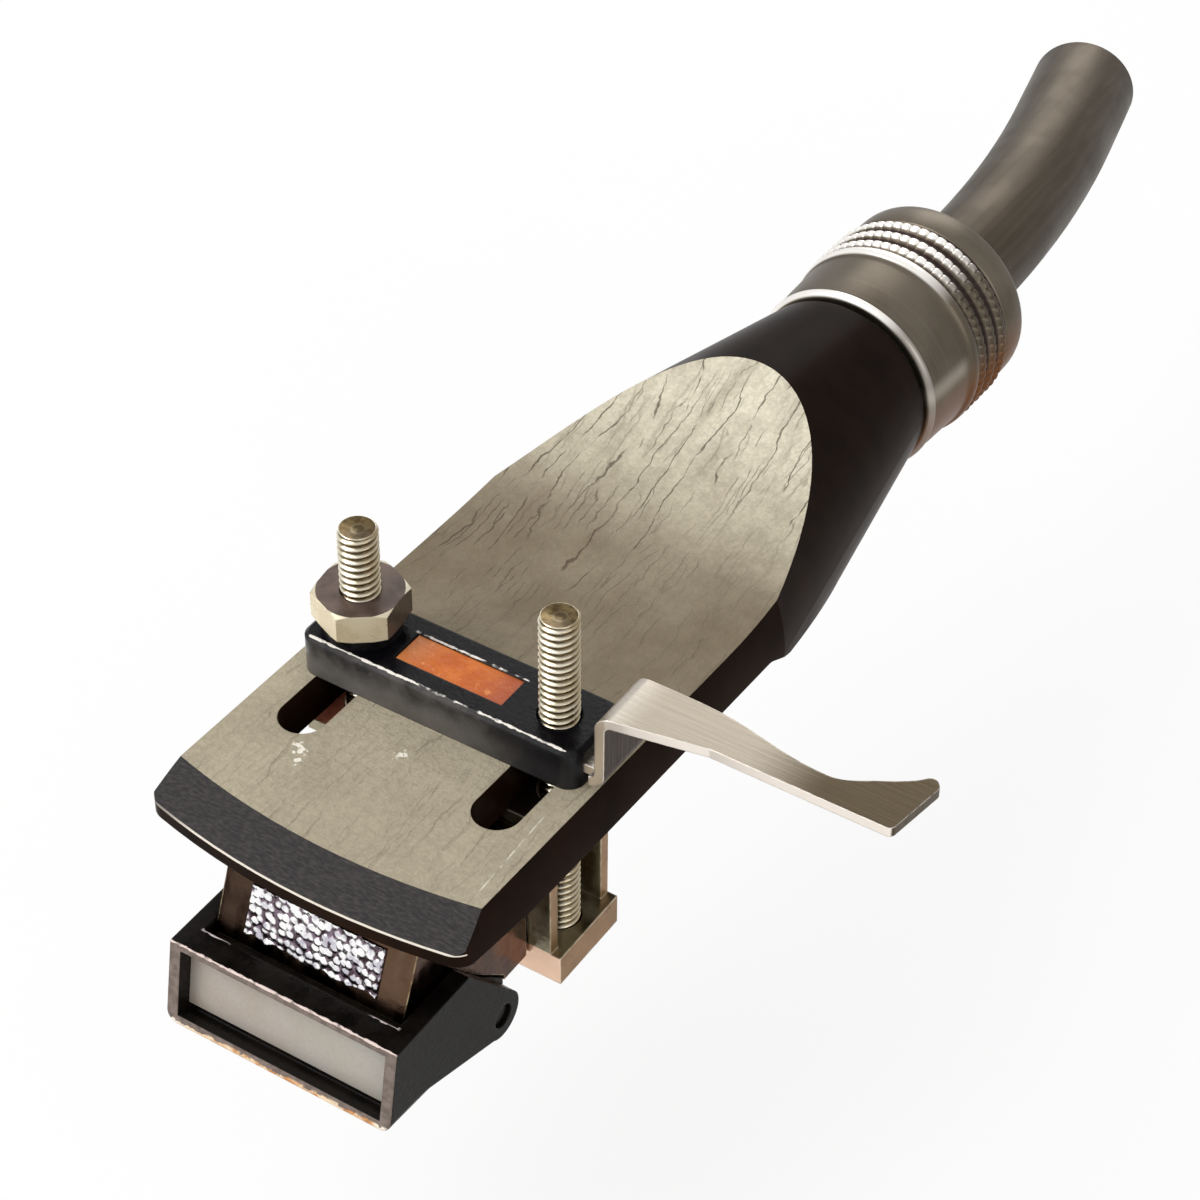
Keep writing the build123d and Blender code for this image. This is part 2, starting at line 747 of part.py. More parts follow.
# Mounting bracket: cast plate with a screw channel and a foot on each side
with BuildPart() as mounting_bracket:
    with BuildSketch(Plane.XY.offset(shell_top_z)):
        with Locations((0, screw_y)):
            Rectangle(2 * ear_outer_x, 2 * ear_half_depth)
    extrude(amount=bracket_plate)
    for side in (-1, 1):
        with BuildSketch(Plane.XY.offset(ear_foot_bottom_z)):
            with Locations((side * (ear_web_x + ear_outer_x) / 2, screw_y)):
                Rectangle(ear_outer_x - ear_web_x, 2 * ear_half_depth)
        extrude(amount=ear_foot_height)
        with BuildSketch(Plane.XY.offset(ear_foot_bottom_z)):
            with Locations((side * (ear_web_x + ear_wall_outer_x) / 2, screw_y)):
                Rectangle(ear_wall_outer_x - ear_web_x, 2 * ear_half_depth)
            channel_floor_x = ear_web_x + ear_web
            with Locations((side * (channel_floor_x + ear_wall_outer_x) / 2, screw_y)):
                Rectangle(
                    ear_wall_outer_x - channel_floor_x, 2 * (ear_half_depth - ear_wall), mode=Mode.SUBTRACT
                )
        extrude(amount=shell_top_z - ear_foot_bottom_z)
    for side in (-1, 1):
        with BuildSketch(Plane.XZ.offset(-screw_y)):
            with BuildLine():
                Polyline(
                    (side * screw_x, ear_foot_bottom_z),
                    (side * screw_x + screw_head_radius + screw_hole_clearance, ear_foot_bottom_z),
                    (side * screw_x + screw_hole_radius, ear_foot_bottom_z + screw_head_height),
                    (side * screw_x + screw_hole_radius, plate_bottom_z),
                    (side * screw_x, plate_bottom_z), close=True,
                )
            make_face()
        revolve(axis=Axis((side * screw_x, screw_y, 0), (0, 0, 1)), mode=Mode.SUBTRACT)
write(mounting_bracket, "mounting_bracket")



def shell_form(wall, parting_wall):
    """The shell's form, drawn in by its wall, and run out behind by as much."""
    lean_wall = wall / cos(radians(shell_front_lean))
    low_z = shell_front_bottom_z + wall
    with BuildPart() as form:
        with BuildSketch(Plane.XY):
            with BuildLine():
                Polyline(
                    (shell_half_width - wall, -beyond), (shell_half_width - wall, shell_step_y - wall),
                    (shell_rear_half_width - wall, shell_step_y - wall),
                    (shell_rear_half_width - wall, shell_rear_y + wall),
                    (wall - shell_rear_half_width, shell_rear_y + wall),
                    (wall - shell_rear_half_width, shell_step_y - wall),
                    (wall - shell_half_width, shell_step_y - wall), (wall - shell_half_width, -beyond),
                    close=True,
                )
            make_face()
        extrude(amount=beyond)
        with BuildSketch(Plane.YZ):
            with BuildLine():
                Polyline(
                    (shell_front(shell_top_z - wall) + lean_wall, shell_top_z - wall),
                    (shell_front(low_z) + lean_wall, low_z), (shell_parting_y + parting_wall, low_z),
                    (shell_parting_drop_y + wall, shell_parting_drop_z + parting_wall),
                    (shell_parting_drop_y + wall, shell_skirt_z + wall),
                    (shell_nose_y + wall, shell_skirt_z + wall),
                    (shell_nose_y + wall, shell_floor(shell_nose_y) + wall),
                    (shell_rear_y + wall, shell_floor(shell_rear_y) + wall),
                    (shell_rear_y + wall, shell_top_z - wall), close=True,
                )
            make_face()
        extrude(amount=beyond, both=True, mode=Mode.INTERSECT)
    return form


# Cartridge shell: thin shielding can with a leaning front, open behind for the terminals
shell_outside = shell_form(0, 0)
shell_inside = shell_form(shell_wall, shell_parting_wall)
with BuildPart() as cartridge_shell:
    add(shell_outside.part)
    add(shell_inside.part, mode=Mode.SUBTRACT)
    with BuildSketch(along_stylus(0)):
        Circle(stylus_tube_radius + running_clearance)
    extrude(amount=socket_front, mode=Mode.SUBTRACT)
write(cartridge_shell, "cartridge_shell")

# Front foil: embossed foil plate on the shell's leaning face
foil_plane = Plane(
    origin=(0, shell_front_top_y, shell_top_z), x_dir=(1, 0, 0),
    z_dir=(0, -cos(radians(shell_front_lean)), sin(radians(shell_front_lean))),
)
with BuildPart() as front_foil:
    with BuildSketch(foil_plane):
        with Locations((0, -foil_top_margin - foil_height / 2)):
            Rectangle(2 * foil_half_width, foil_height)
    extrude(amount=foil_thickness)
write(front_foil, "front_foil")

# Stylus socket: square brass block with the bore that the stylus tube slides in
with BuildPart() as stylus_socket:
    with BuildSketch(along_stylus(socket_front)):
        Rectangle(2 * stylus_socket_half, 2 * stylus_socket_half)
        Circle(stylus_tube_radius + running_clearance, mode=Mode.SUBTRACT)
    extrude(amount=stylus_socket_end - socket_front)
write(stylus_socket, "stylus_socket")


def pole_core(side):
    """Laminated core: upright limb through the coil and a toe beside the stylus socket."""
    inner_x = stylus_socket_half + core_gap_x
    with BuildPart() as core:
        with BuildSketch(Plane.YZ.offset(side * (inner_x + core_thickness / 2))):
            with BuildLine():
                Polyline(
                    (core_toe_front_y, core_bottom_z), (core_limb_y + core_limb_depth, core_bottom_z),
                    (core_limb_y + core_limb_depth, core_top_z), (core_limb_y, core_top_z),
                    (core_limb_y, core_bottom_z + core_toe_height),
                    (core_toe_front_y, core_bottom_z + core_toe_height), close=True,
                )
            make_face()
        extrude(amount=core_thickness / 2, both=True)
    return core


coil_rear_y = core_limb_y + core_limb_depth + coil_winding_y
coil_bottom_z = tube_axis_z(coil_rear_y) + stylus_socket_half / cos(radians(tube_tilt)) + side_clearance


def pickup_coil(side):
    """Wound coil on the core's limb, with rounded corners."""
    middle_x = side * (stylus_socket_half + core_gap_x + core_thickness / 2)
    with BuildPart() as coil:
        with BuildSketch(Plane.XY.offset(coil_bottom_z)):
            with Locations((middle_x, core_limb_y + core_limb_depth / 2)):
                RectangleRounded(
                    core_thickness + 2 * coil_winding_x, core_limb_depth + 2 * coil_winding_y,
                    coil_corner_radius,
                )
                Rectangle(
                    core_thickness + 2 * running_clearance, core_limb_depth + 2 * running_clearance,
                    mode=Mode.SUBTRACT,
                )
        extrude(amount=coil_top_z - coil_bottom_z)
    return coil


for side, side_name in ((-1, "left"), (1, "right")):
    write(pole_core(side), f"{side_name}_core")
    write(pickup_coil(side), f"{side_name}_coil")

# Terminal block: moulded plug that closes the shell's rear and holds the four pins
terminal_places = [
    (side * terminal_spacing_x / 2, height)
    for height in (terminal_low_z, terminal_high_z)
    for side in (-1, 1)
]
block_bottom_z = shell_floor(shell_rear_y)
spigot_bottom_z = block_bottom_z + shell_wall + side_clearance
spigot_top_z = shell_top_z - shell_wall - running_clearance
with BuildPart() as terminal_block:
    with BuildSketch(across(0, shell_rear_y, 0)):
        with Locations((0, (block_bottom_z + shell_top_z) / 2)):
            Rectangle(2 * shell_rear_half_width, shell_top_z - block_bottom_z)
    extrude(amount=terminal_block_depth)
    with BuildSketch(across(0, shell_rear_y, 0)):
        with Locations((0, (spigot_bottom_z + spigot_top_z) / 2)):
            Rectangle(
                2 * (shell_rear_half_width - shell_wall - running_clearance), spigot_top_z - spigot_bottom_z
            )
    extrude(amount=-terminal_spigot_depth)
    with BuildSketch(across(0, shell_rear_y, 0)):
        with Locations(*terminal_places):
            Circle(terminal_radius + press_gap)
    extrude(amount=beyond, both=True, mode=Mode.SUBTRACT)
write(terminal_block, "terminal_block")

# Terminal pins: four round pins through the block
block_rear_y = shell_rear_y + terminal_block_depth
pin_end_y = block_rear_y + terminal_reach
with BuildPart() as terminal_pins:
    with BuildSketch(across(0, shell_rear_y - terminal_tail, 0)):
        with Locations(*terminal_places):
            Circle(terminal_radius)
    extrude(amount=pin_end_y - shell_rear_y + terminal_tail)
write(terminal_pins, "terminal_pins")

# Lead clips: crimped sleeves on the terminal pins
clip_front_y = block_rear_y + clip_gap
clip_crimp_y = clip_front_y + clip_length
lead_start_y = clip_crimp_y + clip_crimp_length
with BuildPart() as lead_clips:
    for y, length, radius in (
        (clip_front_y, clip_length, clip_radius), (clip_crimp_y, clip_crimp_length, clip_crimp_radius),
    ):
        with BuildSketch(across(0, y, 0)):
            with Locations(*terminal_places):
                Circle(radius)
        extrude(amount=length)
    with BuildSketch(across(0, clip_front_y, 0)):
        with Locations(*terminal_places):
            Circle(terminal_radius + press_gap)
    extrude(amount=pin_end_y + running_clearance - clip_front_y, mode=Mode.SUBTRACT)
write(lead_clips, "lead_clips")

# Leads: four thin wires from the clips, up the channel and through the neck to the plug's contacts
contact_offset = contact_circle_radius * sin(radians(contact_angle))
lead_end_y = plug_rear_y - insulator_thickness - contact_tail
lead_names = ("lead_green", "lead_red", "lead_blue", "lead_white")
for (pin_x, pin_z), lead_name in zip(terminal_places, lead_names):
    end_x = contact_offset if pin_x > 0 else -contact_offset
    end_z = arm_axis_z + (contact_offset if pin_z == terminal_high_z else -contact_offset)
    route = (
        (pin_x, lead_start_y, pin_z), (pin_x, lead_start_y + lead_first_run, pin_z),
        turned_point(end_x, lead_tunnel_y, end_z), turned_point(end_x, lead_end_y, end_z),
    )
    with BuildPart() as lead:
        with BuildLine():
            FilletPolyline(*route, radius=lead_bend_radius)
        with BuildSketch(across(*route[0])):
            Circle(lead_radius)
        sweep()
    write(lead, lead_name)

# Stylus tube: thin sleeve that carries the suspension and slides into the socket
with BuildPart() as stylus_tube:
    with BuildSketch(along_stylus(-stylus_tube_front)):
        Circle(stylus_tube_radius)
        Circle(stylus_tube_radius - stylus_tube_wall, mode=Mode.SUBTRACT)
    extrude(amount=stylus_tube_front + stylus_tube_rear)
write(stylus_tube, "stylus_tube")

# Damper: rubber bush in the tube's mouth, round the cantilever
with BuildPart() as damper:
    with BuildSketch(along_stylus(-damper_length / 2)):
        Circle(stylus_tube_radius - stylus_tube_wall - damper_tube_clearance)
        Circle(cantilever_radius + damper_hole_clearance, mode=Mode.SUBTRACT)
    extrude(amount=damper_length)
write(damper, "damper")

# Cantilever: thin rod bent at its pivot, its point drilled for the stylus tip
cantilever_end = Vector(0, -cantilever_overhang, tip_height - cantilever_radius)
cantilever_line = cantilever_end - pivot
with BuildPart() as cantilever:
    with BuildSketch(Plane(origin=pivot, x_dir=(1, 0, 0), z_dir=cantilever_line)):
        Circle(cantilever_radius)
    extrude(amount=cantilever_line.length)
    with Locations(pivot):
        Sphere(cantilever_radius)
    with BuildSketch(along_stylus(0)):
        Circle(cantilever_radius)
    extrude(amount=armature_length)
    with BuildSketch(Plane.XY):
        Circle(tip_radius + press_gap)
    extrude(amount=pivot_z, mode=Mode.SUBTRACT)
write(cantilever, "cantilever")

# Magnet: small tubular magnet on the cantilever's rear end
with BuildPart() as magnet:
    with BuildSketch(along_stylus(armature_length - magnet_length)):
        Circle(magnet_radius)
        Circle(cantilever_radius + press_gap, mode=Mode.SUBTRACT)
    extrude(amount=magnet_length)
write(magnet, "magnet")

# Stylus tip: ground diamond with a conical point at the origin
with BuildPart() as stylus_tip:
    with BuildSketch(Plane.XZ):
        with BuildLine():
            Polyline(
                (0, 0), (tip_radius, tip_cone_height), (tip_radius, tip_height), (0, tip_height), close=True
            )
        make_face()
    revolve(axis=Axis.Z)
write(stylus_tip, "stylus_tip")

# Stylus holder: moulded grip under the shell, with the neck that holds the tube and the guard's pins
guard_lean = (guard_top_y - guard_bottom_y) / (guard_top_z - guard_bottom_z)
holder_top_z = shell_front_bottom_z - parting_clearance
holder_neck_top_z = shell_skirt_z - parting_clearance
holder_setback = guard_plate_thickness * hypot(1, guard_lean) + holder_front_gap


def guard_face(z):
    """Place of the guard's leaning front face at a height."""
    return guard_bottom_y + (z - guard_bottom_z) * guard_lean


with BuildPart() as stylus_holder:
    with BuildSketch(Plane.YZ):
        with BuildLine():
            Polyline(
                (guard_face(holder_top_z) + holder_setback, holder_top_z),
                (shell_parting_y - parting_clearance, holder_top_z),
                (holder_rear_y, shell_parting_drop_z - parting_clearance),
                (holder_rear_y, holder_rear_bottom_z), (guard_arm_belly_y, guard_arm_belly_z),
                (guard_face(guard_bottom_z) + holder_setback, guard_bottom_z), close=True,
            )
        make_face()
    extrude(amount=holder_half_width, both=True)
    with BuildSketch(Plane.YZ):
        neck_bottom = stylus_tube_radius / cos(radians(tube_tilt)) + holder_neck_below
        with BuildLine():
            Polyline(
                (holder_rear_y - holder_neck_tongue, holder_neck_top_z),
                (holder_neck_rear_y, holder_neck_top_z),
                (holder_neck_rear_y, tube_axis_z(holder_neck_rear_y) - neck_bottom),
                (holder_neck_front_y, tube_axis_z(holder_neck_front_y) - neck_bottom),
                (holder_neck_front_y, holder_neck_top_z - holder_neck_tongue),
                (holder_rear_y - holder_neck_tongue, holder_neck_top_z - holder_neck_tongue), close=True,
            )
        make_face()
    extrude(amount=holder_neck_half_width, both=True)
    with BuildSketch(along_stylus(-beyond / 2)):
        Circle(stylus_tube_radius + press_gap)
    extrude(amount=beyond, mode=Mode.SUBTRACT)
    with BuildSketch(Plane.YZ):
        with Locations((guard_pivot_y, guard_pivot_z)):
            Circle(guard_pin_radius)
    extrude(amount=guard_half_width - side_clearance, both=True)
write(stylus_holder, "stylus_holder")

# Stylus guard: moulded visor with two side arms that swing on the holder's pins
with BuildPart() as stylus_guard:
    with BuildSketch(Plane.YZ.offset(guard_half_width - guard_arm)):
        with BuildLine():
            Polyline(
                (guard_top_y, guard_top_z), (guard_arm_rear_y, guard_top_z),
                (guard_pivot_y + guard_boss_radius * cos(radians(guard_boss_shoulder)),
                 guard_pivot_z + guard_boss_radius * sin(radians(guard_boss_shoulder))),
                (guard_pivot_y, guard_pivot_z - guard_boss_radius),
                (guard_arm_belly_y, guard_arm_belly_z), (guard_bottom_y, guard_bottom_z), close=True,
            )
        make_face()
        with Locations((guard_pivot_y, guard_pivot_z)):
            Circle(guard_boss_radius)
    extrude(amount=guard_arm)
    mirror(about=Plane.YZ)
    plate_depth = guard_plate_thickness * hypot(1, guard_lean)
    with BuildSketch(Plane.YZ):
        with BuildLine():
            Polyline(
                (guard_top_y, guard_top_z), (guard_bottom_y, guard_bottom_z),
                (guard_bottom_y + plate_depth, guard_bottom_z), (guard_top_y + plate_depth, guard_top_z),
                close=True,
            )
        make_face()
    extrude(amount=guard_half_width, both=True)
    lower_edges = stylus_guard.edges().filter_by_position(Axis.Z, guard_arm_belly_z, guard_bottom_z)
    fillet(lower_edges.group_by(Axis.X)[0] + lower_edges.group_by(Axis.X)[-1], radius=guard_corner_radius)
    with BuildSketch(Plane.YZ):
        with Locations((guard_pivot_y, guard_pivot_z)):
            Circle(guard_pin_radius + running_clearance)
    extrude(amount=beyond, both=True, mode=Mode.SUBTRACT)
    guard_plane = Plane(
        origin=(0, guard_bottom_y, guard_bottom_z), x_dir=(1, 0, 0), z_dir=(0, -1, guard_lean)
    )
    with BuildSketch(guard_plane):
        with Locations((0, panel_bottom_margin + panel_height / 2)):
            Rectangle(2 * panel_half_width, panel_height)
    extrude(amount=-panel_pocket, mode=Mode.SUBTRACT)
write(stylus_guard, "stylus_guard")

# Guard panel: plain plate in the guard's front recess
with BuildPart() as guard_panel:
    with BuildSketch(guard_plane.offset(-panel_pocket)):
        with Locations((0, panel_bottom_margin + (panel_height + panel_lower_gap) / 2)):
            Rectangle(2 * (panel_half_width - glue_gap), panel_height - panel_lower_gap - 2 * glue_gap)
    extrude(amount=panel_thickness)
write(guard_panel, "guard_panel")
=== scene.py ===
# A phono cartridge in its headshell on the end of an arm tube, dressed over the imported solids. Metres.
import json
import math
import random

import bmesh
import bpy
from mathutils import Matrix, Vector


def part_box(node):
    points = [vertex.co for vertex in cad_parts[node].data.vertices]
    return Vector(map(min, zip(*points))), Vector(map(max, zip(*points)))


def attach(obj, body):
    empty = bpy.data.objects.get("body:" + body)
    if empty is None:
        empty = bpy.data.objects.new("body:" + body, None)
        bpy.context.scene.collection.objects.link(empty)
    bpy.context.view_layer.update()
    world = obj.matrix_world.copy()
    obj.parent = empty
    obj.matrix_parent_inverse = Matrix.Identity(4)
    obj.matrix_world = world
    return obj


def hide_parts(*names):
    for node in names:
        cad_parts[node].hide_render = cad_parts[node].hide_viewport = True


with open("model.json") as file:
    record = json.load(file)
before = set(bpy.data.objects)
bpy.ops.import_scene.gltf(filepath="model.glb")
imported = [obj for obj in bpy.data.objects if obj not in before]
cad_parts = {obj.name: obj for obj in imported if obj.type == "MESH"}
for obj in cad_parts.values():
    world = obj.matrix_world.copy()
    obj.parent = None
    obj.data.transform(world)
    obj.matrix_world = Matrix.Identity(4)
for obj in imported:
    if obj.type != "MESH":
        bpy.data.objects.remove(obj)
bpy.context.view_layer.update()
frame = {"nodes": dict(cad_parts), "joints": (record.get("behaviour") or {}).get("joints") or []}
mm = 0.001

# Arm tube: the bent end of a thin drawn steel tube with a dark satin plating.
# It is glued over the socket's spigot, and it is painted a little paler along the top as a highlight.


def srgb(red, green, blue):
    """A colour given in screen values from 0 to 255, in the linear light that shaders use."""
    shares = [value / 255 for value in (red, green, blue)]
    return [s / 12.92 if s <= 0.04045 else ((s + 0.055) / 1.055) ** 2.4 for s in shares] + [1.0]


def add(tree, kind, inputs=None, **settings):
    """Adds a shader node. Each input is given a value, or another node's output to link to."""
    node = tree.nodes.new("ShaderNode" + kind)
    for name, value in settings.items():
        setattr(node, name, value)
    for socket, value in (inputs or {}).items():
        if isinstance(value, bpy.types.NodeSocket):
            tree.links.new(value, node.inputs[socket])
        else:
            node.inputs[socket].default_value = value
    return node


def calc(tree, operation, first, second=0.0):
    """One sum of two values, as a node's output."""
    return add(tree, "Math", {0: first, 1: second}, operation=operation).outputs[0]


def times(tree, *values):
    """The product of several values."""
    product = values[0]
    for value in values[1:]:
        product = calc(tree, "MULTIPLY", product, value)
    return product


def vector_calc(tree, operation, first, second):
    """One sum of two vectors, as a vector, or as a value for a length, a distance or a dot product."""
    node = add(tree, "VectorMath", {0: first, 1: second}, operation=operation)
    return node.outputs["Value" if operation in ("DISTANCE", "DOT_PRODUCT", "LENGTH") else "Vector"]


def ramp(tree, value, start, end, low=0.0, high=1.0):
    """A smooth step from low to high as the value goes from start to end."""
    limits = {"Value": value, "From Min": start, "From Max": end, "To Min": low, "To Max": high}
    return add(tree, "MapRange", limits, interpolation_type="SMOOTHSTEP").outputs["Result"]


def mix(tree, share, first, second):
    """The first colour, turning into the second as the share goes from 0 to 1."""
    return add(tree, "Mix", {0: share, 6: first, 7: second}, data_type="RGBA").outputs[2]


def place_in_mm(tree):
    """Where a point lies on its own piece, in millimetres."""
    place = add(tree, "TexCoord").outputs["Object"]
    return add(tree, "VectorMath", {0: place, "Scale": 1 / mm}, operation="SCALE").outputs["Vector"]


def split(tree, vector):
    """A vector's three values, as outputs X, Y and Z."""
    return add(tree, "SeparateXYZ", {0: vector}).outputs


def facing_of(tree):
    """Which way the surface faces on its own piece, as outputs X, Y and Z."""
    return split(tree, add(tree, "TexCoord").outputs["Normal"])


def new_group(name, inputs, output):
    """An empty node group with inputs of a kind and a value, and one output."""
    group = bpy.data.node_groups.new(name, "ShaderNodeTree")
    for socket, value in inputs.items():
        kind = "NodeSocketVector" if isinstance(value, tuple) else "NodeSocketFloat"
        group.interface.new_socket(socket, in_out="INPUT", socket_type=kind).default_value = value
    group.interface.new_socket(output, in_out="OUTPUT", socket_type="NodeSocketFloat")
    return group, group.nodes.new("NodeGroupInput").outputs, group.nodes.new("NodeGroupOutput").inputs


# Streaks: long soft lines left by drawing, turning or brushing
streaks, given, result = new_group("streaks", {
    "Lines per mm": (1.0, 1.0, 1.0), "From": 0.35, "To": 0.65,
}, "Mask")
stretched = vector_calc(streaks, "MULTIPLY", place_in_mm(streaks), given["Lines per mm"])
lines = add(streaks, "TexNoise", {"Vector": stretched, "Scale": 1.0, "Detail": 4.0})
streaks.links.new(ramp(streaks, lines.outputs["Fac"], given["From"], given["To"]), result["Mask"])

# Mottle: uneven patches, grains or specks, by how large and how sharp they are
mottle, given, result = new_group("mottle", {"Patches per mm": 1.0, "From": 0.35, "To": 0.65}, "Mask")
patches = add(mottle, "TexNoise", {
    "Vector": place_in_mm(mottle), "Scale": given["Patches per mm"], "Detail": 5.0, "Roughness": 0.55,
})
mottle.links.new(ramp(mottle, patches.outputs["Fac"], given["From"], given["To"]), result["Mask"])


def streaked(tree, x, y, z, start=0.35, end=0.65):
    """Streaks with that many lines per millimetre along each axis."""
    inputs = {"Lines per mm": (x, y, z), "From": start, "To": end}
    return add(tree, "Group", inputs, node_tree=streaks).outputs[0]


def mottled(tree, per_mm, start=0.35, end=0.65):
    """Patches of that many to the millimetre."""
    inputs = {"Patches per mm": per_mm, "From": start, "To": end}
    return add(tree, "Group", inputs, node_tree=mottle).outputs[0]


def new_finish(name, sockets):
    """A material with one Principled shader, its uniform values set on the shader itself."""
    finish = bpy.data.materials.new(name)
    finish.use_nodes = True
    shader = finish.node_tree.nodes["Principled BSDF"].inputs
    for socket, value in sockets.items():
        shader[socket].default_value = value
    return finish, finish.node_tree, shader


def feed(tree, socket, output):
    """Links a node's output to a shader's socket."""
    tree.links.new(output, socket)


def softened(tree, edge_mm, height=None, depth_mm=0.01):
    """The surface normal with rounded edges, and with a relief on it where a height is given."""
    edges = add(tree, "Bevel", {"Radius": edge_mm * mm}, samples=6).outputs["Normal"]
    if height is None:
        return edges
    relief = {"Height": height, "Distance": depth_mm * mm, "Normal": edges}
    return add(tree, "Bump", relief).outputs["Normal"]


def dress(finish, *nodes):
    """Gives a finish to solids that keep their shape."""
    for name in nodes:
        for slot in frame["nodes"][name].material_slots:
            slot.material = finish


arm_steel, tree, shader = new_finish("arm_steel", {"Metallic": 1.0})
# Painted highlight: a paler streaked stripe where the tube faces up
top_highlight = times(tree, ramp(tree, facing_of(tree)["Z"], 0.8, 0.98), streaked(tree, 0.3, 0.04, 0.3), 0.5)
drawn = mix(tree, streaked(tree, 2.0, 0.05, 2.0), srgb(70, 62, 52), srgb(78, 70, 60))
feed(tree, shader["Base Color"], mix(tree, top_highlight, drawn, srgb(104, 95, 84)))
feed(tree, shader["Roughness"], ramp(tree, mottled(tree, 0.3), 0, 1, 0.42, 0.5))
feed(tree, shader["Normal"], softened(tree, 0.08))
dress(arm_steel, "arm_tube")

# Arm socket: a turned ring in the tube's end, with a white moulded disc that holds four sprung contacts.
# The headshell's four pins meet them. All of it is hidden once the collar is drawn up.
turned_nickel, tree, shader = new_finish("turned_nickel", {"Metallic": 1.0})
rings = streaked(tree, 0.2, 8.0, 0.2)
feed(tree, shader["Base Color"], mix(tree, rings, srgb(168, 160, 146), srgb(196, 189, 176)))
feed(tree, shader["Roughness"], ramp(tree, rings, 0, 1, 0.22, 0.36))
feed(tree, shader["Normal"], softened(tree, 0.06))
dress(turned_nickel, "arm_socket", "bayonet_plug", "bayonet_pin")

contact_gold, tree, shader = new_finish("contact_gold", {"Metallic": 1.0})
rubbed = mottled(tree, 3.0)
feed(tree, shader["Base Color"], mix(tree, rubbed, srgb(206, 160, 82), srgb(228, 190, 118)))
feed(tree, shader["Roughness"], ramp(tree, rubbed, 0, 1, 0.18, 0.34))
feed(tree, shader["Normal"], softened(tree, 0.05))
dress(contact_gold, "socket_contacts", "plug_contacts", "terminal_pins", "lead_clips", "stylus_socket")

insulator_white, tree, shader = new_finish("insulator_white", {})
clouded = mottled(tree, 1.2)
feed(tree, shader["Base Color"], mix(tree, clouded, srgb(205, 200, 186), srgb(224, 220, 208)))
feed(tree, shader["Roughness"], ramp(tree, clouded, 0, 1, 0.38, 0.5))
feed(tree, shader["Normal"], softened(tree, 0.08))
dress(insulator_white, "socket_insulator", "plug_insulator")

# Locking collar: a turned and satin-nickelled nut with a smooth band and three rows of cut beads.
# It turns on the socket and draws the headshell's bayonet pin in.
# Its rim, band and beads are rubbed bright, and are painted brightest above on the left as a highlight
# where the light falls. Below it is painted dull and brown as shade and a warm reflection.
collar_joint = next(joint for joint in frame["joints"] if joint["name"] == "collar_turn")
collar_pivot = Vector(collar_joint["pos_m"])
collar_axis = -Vector(collar_joint["axis"]).normalized()
collar_side = collar_axis.cross(Vector((0, 0, 1)))
collar_up = collar_side.cross(collar_axis)
collar_points = [vertex.co for vertex in frame["nodes"]["locking_collar"].data.vertices]
collar_reach = [(point - collar_pivot).dot(collar_axis) for point in collar_points]
collar_front = collar_pivot + collar_axis * min(collar_reach)
collar_length = (max(collar_reach) - min(collar_reach)) / mm
collar_radius = 6.45
collar_bore = 4.95
tube_hole = 3.75
back_wall = 1.6
band_start = 4.75
band_end = 5.52
bead_rows = 3
bead_count = 64
bead_facets = 8
bead_start = 5.6
bead_pitch = 1.25
bead_width = 0.9
bead_steps = 10
bead_height = 0.24
bead_root = 0.17
bead_share = 0.3
bead_crest = 0.45
bead_round = 0.9
rows_end = bead_start + (bead_rows - 1) * bead_pitch + bead_width
groove_radius = collar_radius - bead_root

# Outer line of the collar from its front face to its rear face, as distance along and radius
collar_line = [
    (0.0, collar_bore), (0.0, 5.85), (0.05, 6.02), (0.14, 6.16), (0.28, 6.26), (0.42, 6.3), (0.5, 6.28),
    (0.58, 6.2), (0.72, 6.22), (2.0, 6.3), (4.2, 6.38), (4.65, 6.42), (band_start, 6.52), (4.95, 6.6),
    (5.15, 6.63), (5.36, 6.6), (5.46, 6.52), (band_end, groove_radius),
]
row_steps = round((rows_end - bead_start) / bead_width * bead_steps)
for step in range(row_steps + 1):
    collar_line.append((bead_start + (rows_end - bead_start) * step / row_steps, groove_radius))
collar_line += [
    (9.1, groove_radius), (9.18, 6.4), (9.28, collar_radius), (10.6, collar_radius), (11.0, 6.43),
    (11.2, 6.38), (11.35, 6.27), (collar_length - 0.1, 5.54), (collar_length, 5.42),
    (collar_length, tube_hole), (collar_length - back_wall, tube_hole),
    (collar_length - back_wall, collar_bore),
]


def ring_shell(line, segments, at, swell):
    """A closed turned shell from a line of (along, radius) that comes back to its start."""
    shell = bmesh.new()
    rings = []
    for along, radius in line:
        ring = []
        for step in range(segments):
            angle = 2 * math.pi * step / segments
            ring.append(shell.verts.new(at(along, radius + swell(along, angle), angle)))
        rings.append(ring)
    for first, second in zip(rings, rings[1:] + rings[:1]):
        for step in range(segments):
            after = (step + 1) % segments
            shell.faces.new((first[step], second[step], second[after], first[after]))
    bmesh.ops.recalc_face_normals(shell, faces=shell.faces)
    return shell


sharp_angle = math.radians(40)


def new_piece(name, form, finish, body, slot, *nodes):
    """Turns a mesh in the making into a smooth piece that stands for solids of that body."""
    mesh = bpy.data.meshes.new(name)
    form.to_mesh(mesh)
    form.free()
    mesh.materials.append(finish)
    mesh.shade_smooth()
    mesh.set_sharp_from_angle(angle=sharp_angle)
    piece = bpy.data.objects.new(name, mesh)
    bpy.context.scene.collection.objects.link(piece)
    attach(piece, body)
    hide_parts(*nodes)


def on_collar(along, reach, angle):
    """A point of the collar in the frame, from its place along the axis, its radius and its angle."""
    around = collar_side * math.cos(angle) + collar_up * math.sin(angle)
    return collar_front + collar_axis * along * mm + around * reach * mm


